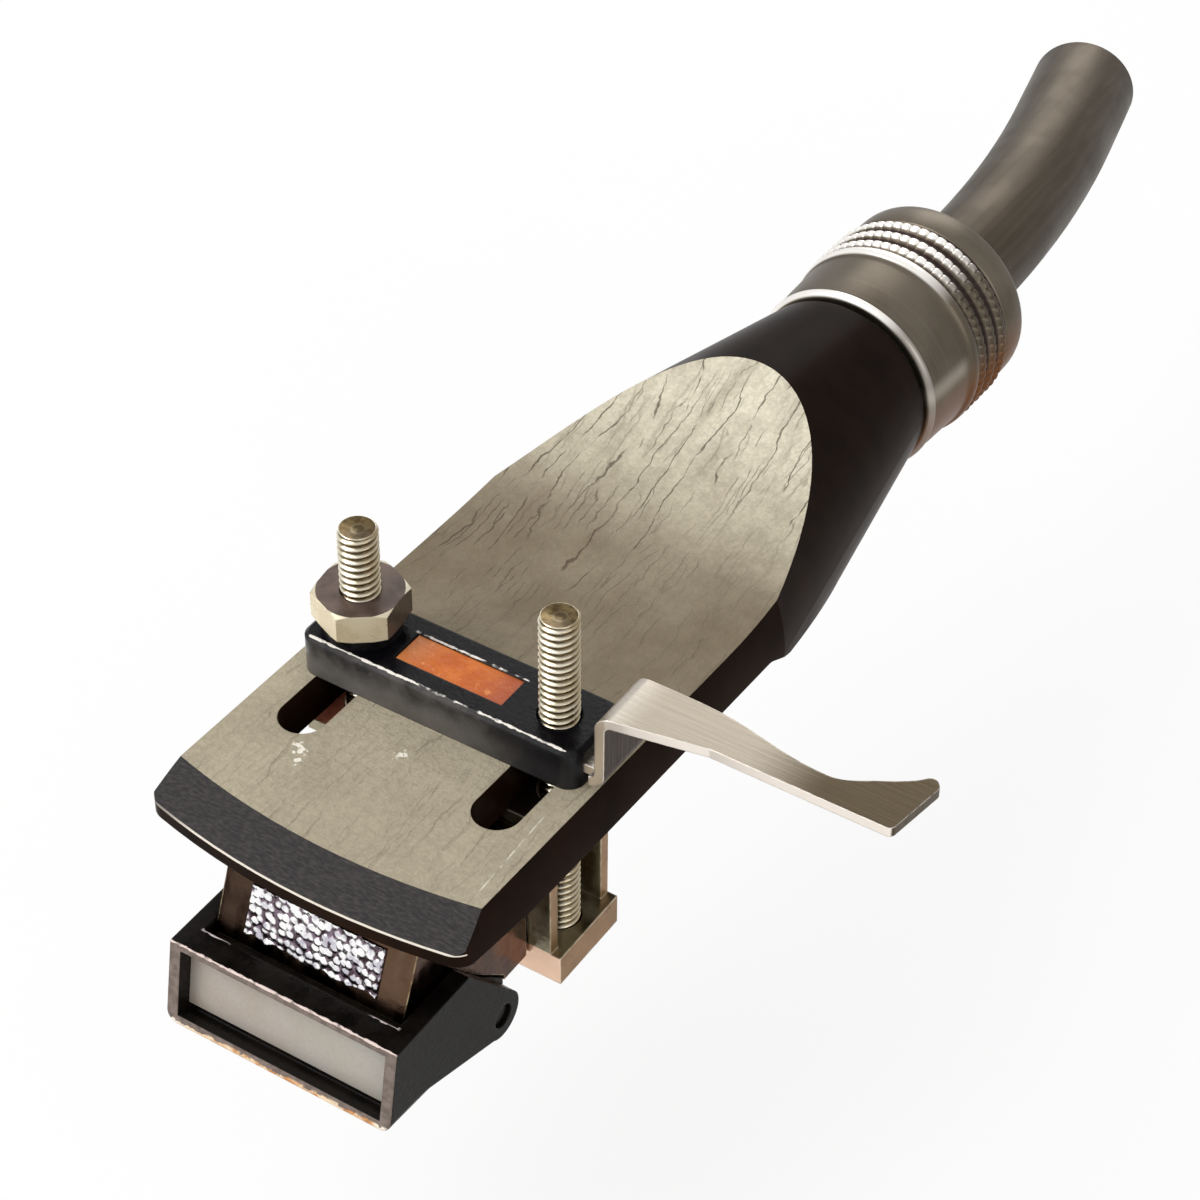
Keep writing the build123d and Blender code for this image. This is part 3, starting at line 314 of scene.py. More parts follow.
def cut_beads(along, angle):
    """How far the bead rows rise over the groove that they stand in."""
    for row in range(bead_rows):
        share = (along - bead_start - row * bead_pitch) / bead_width
        if 0 <= share <= 1:
            crest = abs(math.sin(0.5 * bead_count * angle)) ** bead_crest
            rise = (bead_root + bead_height) * (1 - bead_share + bead_share * crest)
            return rise * max(0.0, math.sin(math.pi * share)) ** bead_round
    return 0.0


# Directions across the collar: where the painted highlight falls, the line of a painted highlight stripe,
# and where a warm reflection is painted
lit_side = (-0.45, 0.0, 0.89)
across_highlight = (0.208, 0.0, -0.978)
reflecting_side = (0.6, 0.0, -0.8)
groove_start = 5.4
groove_end = 9.2

satin_nickel, tree, shader = new_finish("satin_nickel", {"Metallic": 1.0})
from_pivot = vector_calc(tree, "SUBTRACT", place_in_mm(tree), collar_pivot / mm)
off_axis = vector_calc(tree, "CROSS_PRODUCT", from_pivot, collar_axis)
radius = vector_calc(tree, "LENGTH", off_axis, (0, 0, 0))
along = vector_calc(tree, "DOT_PRODUCT", from_pivot, collar_axis)
along = calc(tree, "SUBTRACT", along, min(collar_reach) / mm)
aside = split(tree, from_pivot)
# Painted highlight: the rubbed rim, band and beads are brightest above on the left, and fade away from it
lit_upper_left = ramp(tree, vector_calc(tree, "DOT_PRODUCT", from_pivot, lit_side), 2.2, 4.9)
rim = times(tree, ramp(tree, along, 0.48, 0.38), ramp(tree, radius, 5.95, 6.1))
rim = times(tree, rim, ramp(tree, lit_upper_left, 0, 1, 0.2, 1.0))
band = ramp(tree, along, band_start - 0.1, band_start + 0.05)
band = times(tree, band, ramp(tree, along, band_end, band_end - 0.08))
beads = times(tree, ramp(tree, radius, 6.44, 6.6), ramp(tree, along, band_end, bead_start))
rubbed = times(tree, calc(tree, "MAXIMUM", band, beads), lit_upper_left)
rubbed = calc(tree, "MAXIMUM", rubbed, rim)
turned = streaked(tree, 0.1, 5.0, 0.1)
satin = mix(tree, mottled(tree, 0.2), srgb(84, 76, 65), srgb(98, 90, 79))
satin = mix(tree, times(tree, turned, 0.15), satin, srgb(112, 104, 93))
# Painted shade: the left side is darker and olive
satin = mix(tree, ramp(tree, aside["X"], -2.0, -5.5, 0.0, 0.85), satin, srgb(74, 62, 38))
# Painted highlight: a pale stripe along the cylinder on its lower right
highlight_stripe = calc(tree, "ABSOLUTE", vector_calc(tree, "DOT_PRODUCT", from_pivot, across_highlight))
highlight_stripe = times(tree, ramp(tree, highlight_stripe, 0.9, 0.0), ramp(tree, aside["X"], 4.0, 5.5))
highlight_stripe = times(tree, highlight_stripe, ramp(tree, along, 4.8, 3.6))
satin = mix(tree, times(tree, highlight_stripe, 0.75), satin, srgb(154, 146, 134))
# Painted shade: the beads darken away from the upper left
satin = mix(tree, times(tree, beads, ramp(tree, lit_upper_left, 0.5, 0.0), 0.5), satin, srgb(62, 53, 45))
# Painted reflection: blotchy warm brown on the lower right
below = vector_calc(tree, "DOT_PRODUCT", from_pivot, reflecting_side)
warm_reflection = times(tree, ramp(tree, below, 2.2, 5.2), mottled(tree, 0.25, 0.1, 0.4))
satin = mix(tree, times(tree, warm_reflection, 0.75), satin, srgb(116, 70, 34))
# Painted shade: darker deep in the groove that the beads stand in
in_groove = ramp(tree, along, groove_start, groove_start + 0.1)
in_groove = times(tree, in_groove, ramp(tree, along, groove_end, groove_end - 0.1))
sunk = times(tree, ramp(tree, radius, 6.44, 6.32), in_groove)
satin = mix(tree, times(tree, sunk, 0.85), satin, srgb(50, 39, 38))
feed(tree, shader["Base Color"], mix(tree, rubbed, satin, srgb(244, 240, 234)))
feed(tree, shader["Roughness"], ramp(tree, rubbed, 0, 1, 0.38, 0.24))
lathe_lines = add(tree, "Bump", {"Height": turned, "Distance": 0.0005 * mm})
feed(tree, shader["Normal"], lathe_lines.outputs["Normal"])

collar_form = ring_shell(collar_line, bead_count * bead_facets, on_collar, cut_beads)
new_piece("beaded_collar", collar_form, satin_nickel, "collar", "satin_nickel", "locking_collar")

# Headshell: turned from bar and milled flat above, with a scoop that runs up to its round neck.
# The outside is black; the bare top has aged to a grey skin that is crazed along its length.
facet_top = 18.6
bevel_foot = 17.1
scoop_start = 19.5
neck_start = 38.5

# Fissures: thin broken cracks side by side at uneven steps, which wander along the length.
# Each sway has its lines per millimetre and its reach across in millimetres.
sways = [((0.25, 0.1, 0.2), 3.0), ((0.9, 0.6, 0.9), 0.7), ((3.0, 2.2, 3.0), 0.22)]
gap_lines = (0.5, 0.22, 0.0)
crack_core = 0.3
fissures, given, result = new_group("fissures", {
    "Lines per mm": 0.5, "Width mm": 0.06, "Shift": (0.0, 0.0, 0.0), "Broken from": 0.45, "Broken to": 0.6,
}, "Mask")
place = vector_calc(fissures, "ADD", place_in_mm(fissures), given["Shift"])
across = split(fissures, place)["X"]
for lines, reach in sways:
    stretched = vector_calc(fissures, "MULTIPLY", place, lines)
    sway = add(fissures, "TexNoise", {"Vector": stretched, "Scale": 1.0, "Detail": 1.0}).outputs["Fac"]
    across = calc(fissures, "ADD", across, times(fissures, sway, reach))
steps = times(fissures, across, given["Lines per mm"])
off_line = add(fissures, "TexVoronoi", {"W": steps, "Scale": 1.0}, voronoi_dimensions="1D",
               feature="DISTANCE_TO_EDGE").outputs["Distance"]
off_line = calc(fissures, "DIVIDE", off_line, given["Lines per mm"])
width = times(fissures, given["Width mm"], ramp(fissures, mottled(fissures, 0.9), 0, 1, 0.4, 1.2))
opened = ramp(fissures, off_line, width, times(fissures, width, crack_core))
breaks = add(fissures, "TexNoise", {
    "Vector": vector_calc(fissures, "MULTIPLY", place, gap_lines), "Scale": 1.0, "Detail": 3.0,
}).outputs["Fac"]
breaks = ramp(fissures, breaks, given["Broken from"], given["Broken to"])
fissures.links.new(times(fissures, opened, breaks), result["Mask"])


def fissured(tree, lines, width_mm, shift, broken):
    """Cracks by their spacing, their width, the part of the pattern used, and how broken they are."""
    inputs = {"Lines per mm": lines, "Width mm": width_mm, "Shift": shift}
    inputs.update({"Broken from": broken[0], "Broken to": broken[1]})
    return add(tree, "Group", inputs, node_tree=fissures).outputs[0]


headshell_black, tree, shader = new_finish("headshell_black", {"Specular IOR Level": 0.015})
place = place_in_mm(tree)
part = split(tree, place)
facing = facing_of(tree)

# Which surface a point is on: the flat, the scoop behind it, or the sloping front edge and its foot
flat = ramp(tree, part["Z"], facet_top - 0.03, facet_top - 0.01)
flat = times(tree, flat, ramp(tree, facing["Z"], 0.99, 0.998))
scoop = ramp(tree, part["Y"], scoop_start, scoop_start + 0.5)
scoop = times(tree, scoop, ramp(tree, facing["Y"], -0.001, -0.004), ramp(tree, facing["Z"], 0.6, 0.65))
facet = calc(tree, "MAXIMUM", flat, scoop)
in_front = ramp(tree, facing["Y"], -0.2, -0.3)
slope = times(tree, ramp(tree, part["Y"], 4.0, 3.0), in_front, ramp(tree, facing["Z"], 0.5, 0.6))
foot_off = calc(tree, "ABSOLUTE", calc(tree, "SUBTRACT", part["Z"], bevel_foot))
foot_line = times(tree, ramp(tree, foot_off, 0.06, 0.03), ramp(tree, part["Y"], 3.0, 1.5), in_front)

# Crazing: fine dark cracks along the scoop, dense towards the neck, that fade to shallow wrinkles in front
towards_neck = ramp(tree, part["Y"], 27.0, 33.0)
left_behind = times(tree, ramp(tree, part["Y"], 15.0, 22.0), ramp(tree, part["X"], 4.5, -0.5))
crazed = calc(tree, "MAXIMUM", towards_neck, left_behind)
long_cracks = fissured(tree, 0.75, 0.07, (0.0, 0.0, 0.0), (0.44, 0.54))
fine_cracks = fissured(tree, 1.5, 0.05, (31.0, 7.0, 0.0), (0.48, 0.58))
crack = calc(tree, "MAXIMUM", long_cracks, times(tree, fine_cracks, 0.7))
wrinkle = fissured(tree, 0.7, 0.12, (57.0, 19.0, 0.0), (0.47, 0.6))

# Aged skin: warm grey, with painted shade behind the bar and a painted cream highlight up the scoop,
# stained along the cracks, with fine pits
skin = mix(tree, mottled(tree, 0.22), srgb(172, 162, 141), srgb(182, 172, 150))
# Painted shade: a blotchy darker band behind the bar
shade_behind_bar = times(tree, ramp(tree, part["Y"], 9.5, 14.0), ramp(tree, part["Y"], 32.5, 22.0))
shade_behind_bar = times(tree, shade_behind_bar, ramp(tree, mottled(tree, 0.12, 0.3, 0.7), 0, 1, 0.65, 0.95))
skin = mix(tree, shade_behind_bar, skin, srgb(120, 108, 89))
# Painted highlight: the scoop turns cream towards the neck, where it faces the light
skin = mix(tree, ramp(tree, part["Y"], 24.2, neck_start), skin, srgb(235, 227, 204))
stain = times(tree, streaked(tree, 0.9, 0.12, 0.2, 0.5, 0.75), crazed)
skin = mix(tree, times(tree, stain, 0.35), skin, srgb(134, 116, 98))
grimy = times(tree, mottled(tree, 0.4, 0.4, 0.75), ramp(tree, part["Y"], 12.0, 18.0))
skin = mix(tree, times(tree, grimy, 0.3), skin, srgb(114, 102, 84))
grain = mottled(tree, 5.0, 0.3, 0.7)
pitted = mottled(tree, 2.0, 0.42, 0.68)
skin = mix(tree, times(tree, grain, 0.2), skin, srgb(112, 102, 86))
skin = mix(tree, times(tree, pitted, 0.14), skin, srgb(112, 102, 86))
skin = mix(tree, times(tree, crack, ramp(tree, crazed, 0, 1, 0.15, 0.75)), skin, srgb(84, 70, 60))
skin = mix(tree, times(tree, wrinkle, 0.25), skin, srgb(112, 101, 84))

# Chips with ragged rays and a long faint scratch, pale where the metal shows.
# A chip is given by its place and its reach, and the scratch by its X where Y is 0 and its lean.
scratch_x = 8.645
scratch_lean = 0.0385
chips = [(-0.41, 4.51, 0.36), (-4.93, 1.81, 0.3), (-4.74, 1.21, 0.32), (-5.35, 2.2, 0.24)]
ragged = ramp(tree, mottled(tree, 3.4, 0.35, 0.65), 0, 1, 0.6, 2.2)
chipped = None
for x, y, reach in chips:
    off = times(tree, vector_calc(tree, "DISTANCE", place, (x, y, facet_top)), ragged)
    spot = ramp(tree, off, reach, 0.7 * reach)
    chipped = spot if chipped is None else calc(tree, "MAXIMUM", chipped, spot)
scratch_off = calc(tree, "SUBTRACT", times(tree, part["Y"], scratch_lean), scratch_x)
scratch_off = calc(tree, "ADD", part["X"], scratch_off)
scratch = ramp(tree, calc(tree, "ABSOLUTE", scratch_off), 0.07, 0.02)
scratch = times(tree, scratch, ramp(tree, part["Y"], 5.6, 4.6), ramp(tree, part["Y"], -2.2, -1.2))
chipped = calc(tree, "MAXIMUM", chipped, times(tree, scratch, mottled(tree, 1.8, 0.4, 0.65), 0.6))
skin = mix(tree, times(tree, chipped, flat), skin, srgb(240, 234, 220))

# Black outside: browner where it turns under as a painted warm reflection, greyer and speckled on the front
# slope, bare along its foot
black = mix(tree, mottled(tree, 0.4), srgb(19, 10, 6), srgb(27, 15, 9))
warm_reflection_under = times(tree, ramp(tree, facing["Z"], 0.45, -0.25), mottled(tree, 0.3, 0.2, 0.7))
black = mix(tree, times(tree, warm_reflection_under, 0.6), black, srgb(48, 29, 15))
speckled = mix(tree, streaked(tree, 2.5, 9.0, 5.0, 0.3, 0.8), srgb(56, 54, 55), srgb(76, 73, 71))
black = mix(tree, slope, black, speckled)
bare = times(tree, foot_line, mottled(tree, 1.1, 0.2, 0.4))
bare = times(tree, bare, ramp(tree, part["X"], -9.5, -6.5, 0.35, 1.0))
black = mix(tree, bare, black, srgb(238, 228, 214))
feed(tree, shader["Base Color"], mix(tree, facet, black, skin))
dull = ramp(tree, slope, 0, 1, 0.28, 0.55)
aged = ramp(tree, grain, 0, 1, 0.5, 0.65)
finish_mix = add(tree, "Mix", {0: facet, 2: dull, 3: aged}, data_type="FLOAT")
feed(tree, shader["Roughness"], finish_mix.outputs[0])
open_cracks = times(tree, crack, ramp(tree, crazed, 0, 1, 0.3, 0.8))
sunken = calc(tree, "MAXIMUM", open_cracks, times(tree, wrinkle, 0.7))
rough = calc(tree, "SUBTRACT", times(tree, grain, 0.35), times(tree, pitted, 0.6))
height = calc(tree, "SUBTRACT", rough, sunken)
feed(tree, shader["Normal"], softened(tree, 0.12, times(tree, height, facet), 0.05))
dress(headshell_black, "headshell_body")

# Gasket: a thin black rubber ring between the headshell's neck and the collar.
# It takes up the play and damps the joint. The stylus's little damping block is of the same rubber.
black_rubber, tree, shader = new_finish("black_rubber", {"Specular IOR Level": 0.3})
dusty = mottled(tree, 4.0, 0.45, 0.75)
feed(tree, shader["Base Color"], mix(tree, dusty, srgb(24, 23, 22), srgb(48, 46, 43)))
feed(tree, shader["Roughness"], ramp(tree, dusty, 0, 1, 0.55, 0.8))
feed(tree, shader["Normal"], softened(tree, 0.08, dusty, 0.01))
dress(black_rubber, "gasket", "damper")

# Mounting bracket: a cast and plated plate under the headshell with a screw channel and foot each side.
# The two screws hold it. Its plating is dull, warm on the sides, and rubbed to copper on the feet's fronts.
foot_top = 6.15
plate_top = 15.6

# Edge wear: how near a point is to an outer edge, broken up unevenly
edge_wear, given, result = new_group("edge_wear", {"Reach mm": 0.2, "Amount": 1.0}, "Wear")
reach = times(edge_wear, given["Reach mm"], mm)
inside = add(edge_wear, "AmbientOcclusion", {"Distance": reach}, inside=True, only_local=True, samples=8)
near_edge = ramp(edge_wear, inside.outputs["AO"], 0.9, 0.45)
wear = times(edge_wear, near_edge, mottled(edge_wear, 1.6, 0.3, 0.62), given["Amount"])
edge_wear.links.new(wear, result["Wear"])


def worn(tree, reach_mm, amount):
    """Edge wear of that reach and strength."""
    return add(tree, "Group", {"Reach mm": reach_mm, "Amount": amount}, node_tree=edge_wear).outputs[0]


bracket_metal, tree, shader = new_finish("bracket_metal", {})
part = split(tree, place_in_mm(tree))
facing = facing_of(tree)
cast = mottled(tree, 0.5)
plating = mix(tree, cast, srgb(138, 130, 106), srgb(166, 158, 136))
sideways = ramp(tree, calc(tree, "ABSOLUTE", facing["X"]), 0.6, 0.95)
plating = mix(tree, times(tree, sideways, 0.65), plating, srgb(176, 128, 88))
plating = mix(tree, mottled(tree, 1.3, 0.62, 0.78), plating, srgb(104, 78, 54))
foot_front = ramp(tree, part["Z"], foot_top, foot_top - 0.05)
foot_front = times(tree, foot_front, ramp(tree, facing["Y"], -0.7, -0.95))
plating = mix(tree, foot_front, plating, srgb(240, 204, 178))
under_slot = ramp(tree, part["Z"], plate_top - 0.3, plate_top)
under_slot = times(tree, under_slot, ramp(tree, facing["Z"], 0.8, 0.95))
# Painted shade: under the slot the right side is near black, the left stays reddish brown
shaded = times(tree, under_slot, ramp(tree, part["X"], 0.0, 1.0))
rusty = mix(tree, mottled(tree, 0.8), srgb(196, 112, 84), srgb(228, 150, 120))
plating = mix(tree, under_slot, plating, mix(tree, shaded, rusty, srgb(30, 19, 13)))
feed(tree, shader["Metallic"], ramp(tree, under_slot, 0, 1, 1.0, 0.0))
feed(tree, shader["Base Color"], mix(tree, worn(tree, 0.15, 0.6), plating, srgb(230, 220, 198)))
feed(tree, shader["Roughness"], ramp(tree, cast, 0, 1, 0.28, 0.44))
feed(tree, shader["Normal"], softened(tree, 0.15, mottled(tree, 2.5), 0.008))
dress(bracket_metal, "mounting_bracket")

# Cartridge shell: two pressed halves of thin brown-lacquered metal that screen the coils.
# They part along the sides, and hold the terminal block and the stylus socket.
shell_lower_edge = (0.0, -5.01, 10.55)

# Edge line: a bright broken line along an edge that runs from side to side
edge_line, given, result = new_group("edge_line", {
    "Edge": (0.0, 0.0, 0.0), "Reach mm": 0.06, "Broken from": 0.3, "Broken to": 0.5,
}, "Mask")
across_edge = vector_calc(edge_line, "MULTIPLY", place_in_mm(edge_line), (0.0, 1.0, 1.0))
off_edge = vector_calc(edge_line, "DISTANCE", across_edge, given["Edge"])
reach = times(edge_line, given["Reach mm"], ramp(edge_line, mottled(edge_line, 2.2), 0, 1, 0.5, 1.2))
on_edge = ramp(edge_line, off_edge, reach, times(edge_line, reach, 0.6))
broken = mottled(edge_line, 1.3, given["Broken from"], given["Broken to"])
edge_line.links.new(times(edge_line, on_edge, broken), result["Mask"])


def lined(tree, edge, reach_mm, start=0.3, end=0.5):
    """A bright line on the edge through that point, with gaps where the start and end are high."""
    inputs = {"Edge": edge, "Reach mm": reach_mm, "Broken from": start, "Broken to": end}
    return add(tree, "Group", inputs, node_tree=edge_line).outputs[0]


shell_metal, tree, shader = new_finish("shell_metal", {"Metallic": 1.0})
part = split(tree, place_in_mm(tree))
facing = facing_of(tree)
lacquer = streaked(tree, 0.9, 0.9, 0.12)
brown = mix(tree, lacquer, srgb(84, 57, 44), srgb(104, 74, 57))
front = mix(tree, ramp(tree, part["X"], -5.5, 4.5), srgb(30, 18, 14), srgb(90, 69, 54))
front = mix(tree, times(tree, lacquer, 0.24), front, srgb(132, 108, 90))
brown = mix(tree, ramp(tree, facing["Y"], -0.5, -0.8), brown, front)
# Painted highlight: a bright broken line along the shell's lower front edge
brown = mix(tree, lined(tree, shell_lower_edge, 0.16, 0.2, 0.4), brown, srgb(250, 240, 234))
feed(tree, shader["Base Color"], mix(tree, worn(tree, 0.12, 0.7), brown, srgb(212, 192, 150)))
feed(tree, shader["Roughness"], ramp(tree, lacquer, 0, 1, 0.14, 0.26))
feed(tree, shader["Normal"], softened(tree, 0.1, mottled(tree, 0.9), 0.01))
dress(shell_metal, "cartridge_shell")

# Front foil: a strip of hammered bright foil glued on the shell's leaning front, torn along its foot.
# Its small round dimples stand close together, their tops painted bright as highlights that catch the light
# one by one, and the sheet between them painted dark as shade.
foil_lean = math.radians(22.0)
foil_thickness = 0.12 * mm
dimple_spacing = 0.48 * mm
dimple_rise = 0.13 * mm
dimple_jitter = 0.3
dimple_spread = 0.66 * dimple_spacing
dimple_least = 0.65
torn_depth = 0.3 * mm
foil_columns = 190
foil_rows = 72
foil_low, foil_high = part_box("front_foil")
foil_normal = Vector((0, -math.cos(foil_lean), math.sin(foil_lean)))
foil_top = Vector((0, foil_high.y, foil_high.z - foil_thickness * math.sin(foil_lean)))
foil_foot = Vector((0, foil_low.y + foil_thickness * math.cos(foil_lean), foil_low.z))
foil_height = (foil_top - foil_foot).length
foil_width = foil_high.x - foil_low.x
chance = random.Random(4)
dimples = {}
for column in range(-1, int(foil_width / dimple_spacing) + 3):
    for row in range(-1, int(foil_height / dimple_spacing) + 3):
        across = (column + 0.5 * (row % 2) + chance.uniform(-dimple_jitter, dimple_jitter)) * dimple_spacing
        down = (row + chance.uniform(-dimple_jitter, dimple_jitter)) * dimple_spacing
        dimples[column, row] = (across, down, chance.uniform(dimple_least, 1.0))
torn_steps = [chance.uniform(0, torn_depth) for step in range(int(foil_width / dimple_spacing) + 3)]


def dimple_share(across, down):
    """The hammered foil's rise over its sheet, from 0 between the dimples to 1 on a dimple's top."""
    column = int(across / dimple_spacing)
    row = int(down / dimple_spacing)
    highest = 0.0
    for beside in (column - 1, column, column + 1):
        for below in (row - 1, row, row + 1):
            if (beside, below) in dimples:
                at_across, at_down, share = dimples[beside, below]
                off = math.hypot(across - at_across, down - at_down) / dimple_spread
                highest = max(highest, share * (1 - off * off))
    return highest


def torn_off(across):
    """How much of the foil is torn off its foot at a place across it."""
    step = across / dimple_spacing
    share = step - int(step)
    return torn_steps[int(step)] * (1 - share) + torn_steps[int(step) + 1] * share


foil_form = bmesh.new()
dome_layer = foil_form.verts.layers.float.new("dome")
rim_lines = []
for side in ("front", "back"):
    grid = []
    for row in range(foil_rows + 1):
        line = []
        for column in range(foil_columns + 1):
            across = foil_width * column / foil_columns
            down = (foil_height - torn_off(across)) * row / foil_rows
            point = foil_top.lerp(foil_foot, down / foil_height) + Vector((foil_low.x + across, 0, 0))
            dome = 0.0
            if side == "front":
                at_rim = row in (0, foil_rows) or column in (0, foil_columns)
                dome = 0.0 if at_rim else dimple_share(across, down)
                point = point + foil_normal * (0.5 * foil_thickness + dome * dimple_rise)
            corner = foil_form.verts.new(point)
            corner[dome_layer] = dome
            line.append(corner)
        grid.append(line)
    for row in range(foil_rows):
        for column in range(foil_columns):
            foil_form.faces.new((
                grid[row][column], grid[row + 1][column], grid[row + 1][column + 1], grid[row][column + 1],
            ))
    right_side = [line[-1] for line in grid[1:]]
    left_side = [line[0] for line in grid[-2:0:-1]]
    rim_lines.append(grid[0] + right_side + grid[-1][-2::-1] + left_side)
for step in range(len(rim_lines[0])):
    front_rim, back_rim = rim_lines
    foil_form.faces.new((front_rim[step - 1], front_rim[step], back_rim[step], back_rim[step - 1]))
bmesh.ops.recalc_face_normals(foil_form, faces=foil_form.faces)

foil, tree, shader = new_finish("foil", {"Metallic": 1.0})
dome = add(tree, "Attribute", attribute_name="dome").outputs["Fac"]
# Painted highlight on the dimples' tops, and painted shade on the sheet between them
dimple_highlight = mix(tree, mottled(tree, 1.1, 0.35, 0.55), srgb(196, 192, 204), srgb(253, 252, 252))
between = mix(tree, mottled(tree, 1.4, 0.4, 0.6), srgb(62, 48, 50), srgb(132, 114, 128))
bright = ramp(tree, calc(tree, "ADD", dome, times(tree, mottled(tree, 1.7), 0.3)), 0.32, 0.64)
feed(tree, shader["Base Color"], mix(tree, bright, between, dimple_highlight))
feed(tree, shader["Roughness"], ramp(tree, bright, 0, 1, 0.24, 0.12))
feed(tree, shader["Normal"], add(tree, "Bump", {
    "Height": mottled(tree, 4.0), "Distance": 0.006 * mm,
}).outputs["Normal"])
new_piece("hammered_foil", foil_form, foil, "root", "foil", "front_foil")

# Coils and cores: two stamped iron cores in the shell, each wound with fine enamelled copper wire.
# The stylus's magnet stirs the field between their toes. Nothing of them shows from outside.
core_iron, tree, shader = new_finish("core_iron", {"Metallic": 1.0})
stamped = streaked(tree, 2.0, 2.0, 0.2)
feed(tree, shader["Base Color"], mix(tree, stamped, srgb(120, 116, 110), srgb(150, 146, 139)))
feed(tree, shader["Roughness"], ramp(tree, stamped, 0, 1, 0.35, 0.5))
feed(tree, shader["Normal"], softened(tree, 0.06))
dress(core_iron, "left_core", "right_core", "magnet")

coil_copper, tree, shader = new_finish("coil_copper", {"Metallic": 0.9})
winding = {"Vector": place_in_mm(tree), "Scale": 3.0, "Distortion": 0.6}
wound = add(tree, "TexWave", winding, bands_direction="Z")
turns = wound.outputs["Fac"]
feed(tree, shader["Base Color"], mix(tree, turns, srgb(120, 58, 30), srgb(196, 112, 66)))
feed(tree, shader["Roughness"], ramp(tree, turns, 0, 1, 0.45, 0.3))
feed(tree, shader["Normal"], softened(tree, 0.08, turns, 0.03))
dress(coil_copper, "left_coil", "right_coil")

# Leads: four fine stranded wires in coloured sleeves, from clips on the terminals through the neck.
# Each goes from the cartridge's pins to the plug's contacts.
lead_colours = {
    "lead_green": ((38, 92, 52), (58, 122, 72)),
    "lead_red": ((132, 30, 24), (168, 48, 38)),
    "lead_blue": ((34, 58, 112), (52, 82, 146)),
    "lead_white": ((196, 188, 172), (220, 214, 200)),
}
for lead, (dark, light) in lead_colours.items():
    sleeve, tree, shader = new_finish(lead.replace("lead", "sleeve"), {})
    greasy = mottled(tree, 1.5)
    feed(tree, shader["Base Color"], mix(tree, greasy, srgb(*dark), srgb(*light)))
    feed(tree, shader["Roughness"], ramp(tree, greasy, 0, 1, 0.32, 0.48))
    feed(tree, shader["Normal"], softened(tree, 0.05, greasy, 0.008))
    dress(sleeve, lead)

# Stylus: a thin aluminium cantilever in a rubber block, with the magnet behind and a diamond in front.
# It sits in a drawn tube that pushes into the shell's socket.
cantilever_aluminium, tree, shader = new_finish("cantilever_aluminium", {"Metallic": 1.0})
drawn = streaked(tree, 12.0, 0.6, 12.0)
feed(tree, shader["Base Color"], mix(tree, drawn, srgb(176, 176, 176), srgb(214, 214, 212)))
feed(tree, shader["Roughness"], ramp(tree, drawn, 0, 1, 0.2, 0.34))
feed(tree, shader["Normal"], softened(tree, 0.03))
dress(cantilever_aluminium, "cantilever", "stylus_tube")

diamond, tree, shader = new_finish("diamond", {"Transmission Weight": 0.7, "IOR": 2.4})
ground = mottled(tree, 9.0)
feed(tree, shader["Base Color"], mix(tree, ground, srgb(226, 226, 230), srgb(246, 246, 248)))
feed(tree, shader["Roughness"], ramp(tree, ground, 0, 1, 0.05, 0.16))
dress(diamond, "stylus_tip")

# Stylus holder and guard: glossy black mouldings, pushed on with the stylus tube.
# The guard swings down on two pins over the point. Its front face is painted grey-brown as a reflection on
# the glossy black, and its edges carry painted highlights.
guard_top_edge = (0.0, -7.04, 10.73)
guard_low_edge = (0.0, -8.0, 5.5)
guard_inner_edge = (0.0, -5.51, 10.73)
guard_front_normal = (0.0, -0.9836, 0.1805)

guard_black, tree, shader = new_finish("guard_black", {"Specular IOR Level": 0.1})
place = place_in_mm(tree)
part = split(tree, place)
facing = facing_of(tree)
smeared = mottled(tree, 0.6)
gloss = mix(tree, smeared, srgb(13, 11, 10), srgb(22, 18, 15))
from_top_edge = vector_calc(tree, "SUBTRACT", place, guard_top_edge)
off_front = vector_calc(tree, "DOT_PRODUCT", from_top_edge, guard_front_normal)
# Painted reflection: the front face is grey-brown
on_front = times(tree, ramp(tree, off_front, -0.08, -0.03), ramp(tree, facing["Y"], -0.85, -0.95))
gloss = mix(tree, on_front, gloss, mix(tree, mottled(tree, 2.0), srgb(108, 96, 88), srgb(134, 120, 112)))
# Painted highlight: a bright broken line along the top front edge
gloss = mix(tree, lined(tree, guard_top_edge, 0.11, 0.3, 0.5), gloss, srgb(244, 224, 216))
# Painted highlight: short bright lines on the inner top edge near both ends
outward = calc(tree, "ABSOLUTE", part["X"])
at_ends = times(tree, ramp(tree, outward, 4.4, 4.9), ramp(tree, outward, 6.5, 6.2))
inner = times(tree, lined(tree, guard_inner_edge, 0.12, 0.2, 0.45), at_ends)
gloss = mix(tree, inner, gloss, srgb(236, 222, 222))
# Painted highlight: copper-coloured along the lower front edge, white at its corners
copper = mix(tree, mottled(tree, 1.2, 0.4, 0.6), srgb(212, 146, 88), srgb(252, 226, 190))
corner = ramp(tree, outward, 5.9, 6.9)
copper = mix(tree, corner, copper, srgb(252, 240, 224))
gloss = mix(tree, lined(tree, guard_low_edge, 0.3, 0.0, 0.2), gloss, copper)
feed(tree, shader["Base Color"], gloss)
feed(tree, shader["Roughness"], ramp(tree, smeared, 0, 1, 0.2, 0.34))
feed(tree, shader["Normal"], softened(tree, 0.16, mottled(tree, 3.0), 0.004))
dress(guard_black, "stylus_holder", "stylus_guard", "terminal_block")

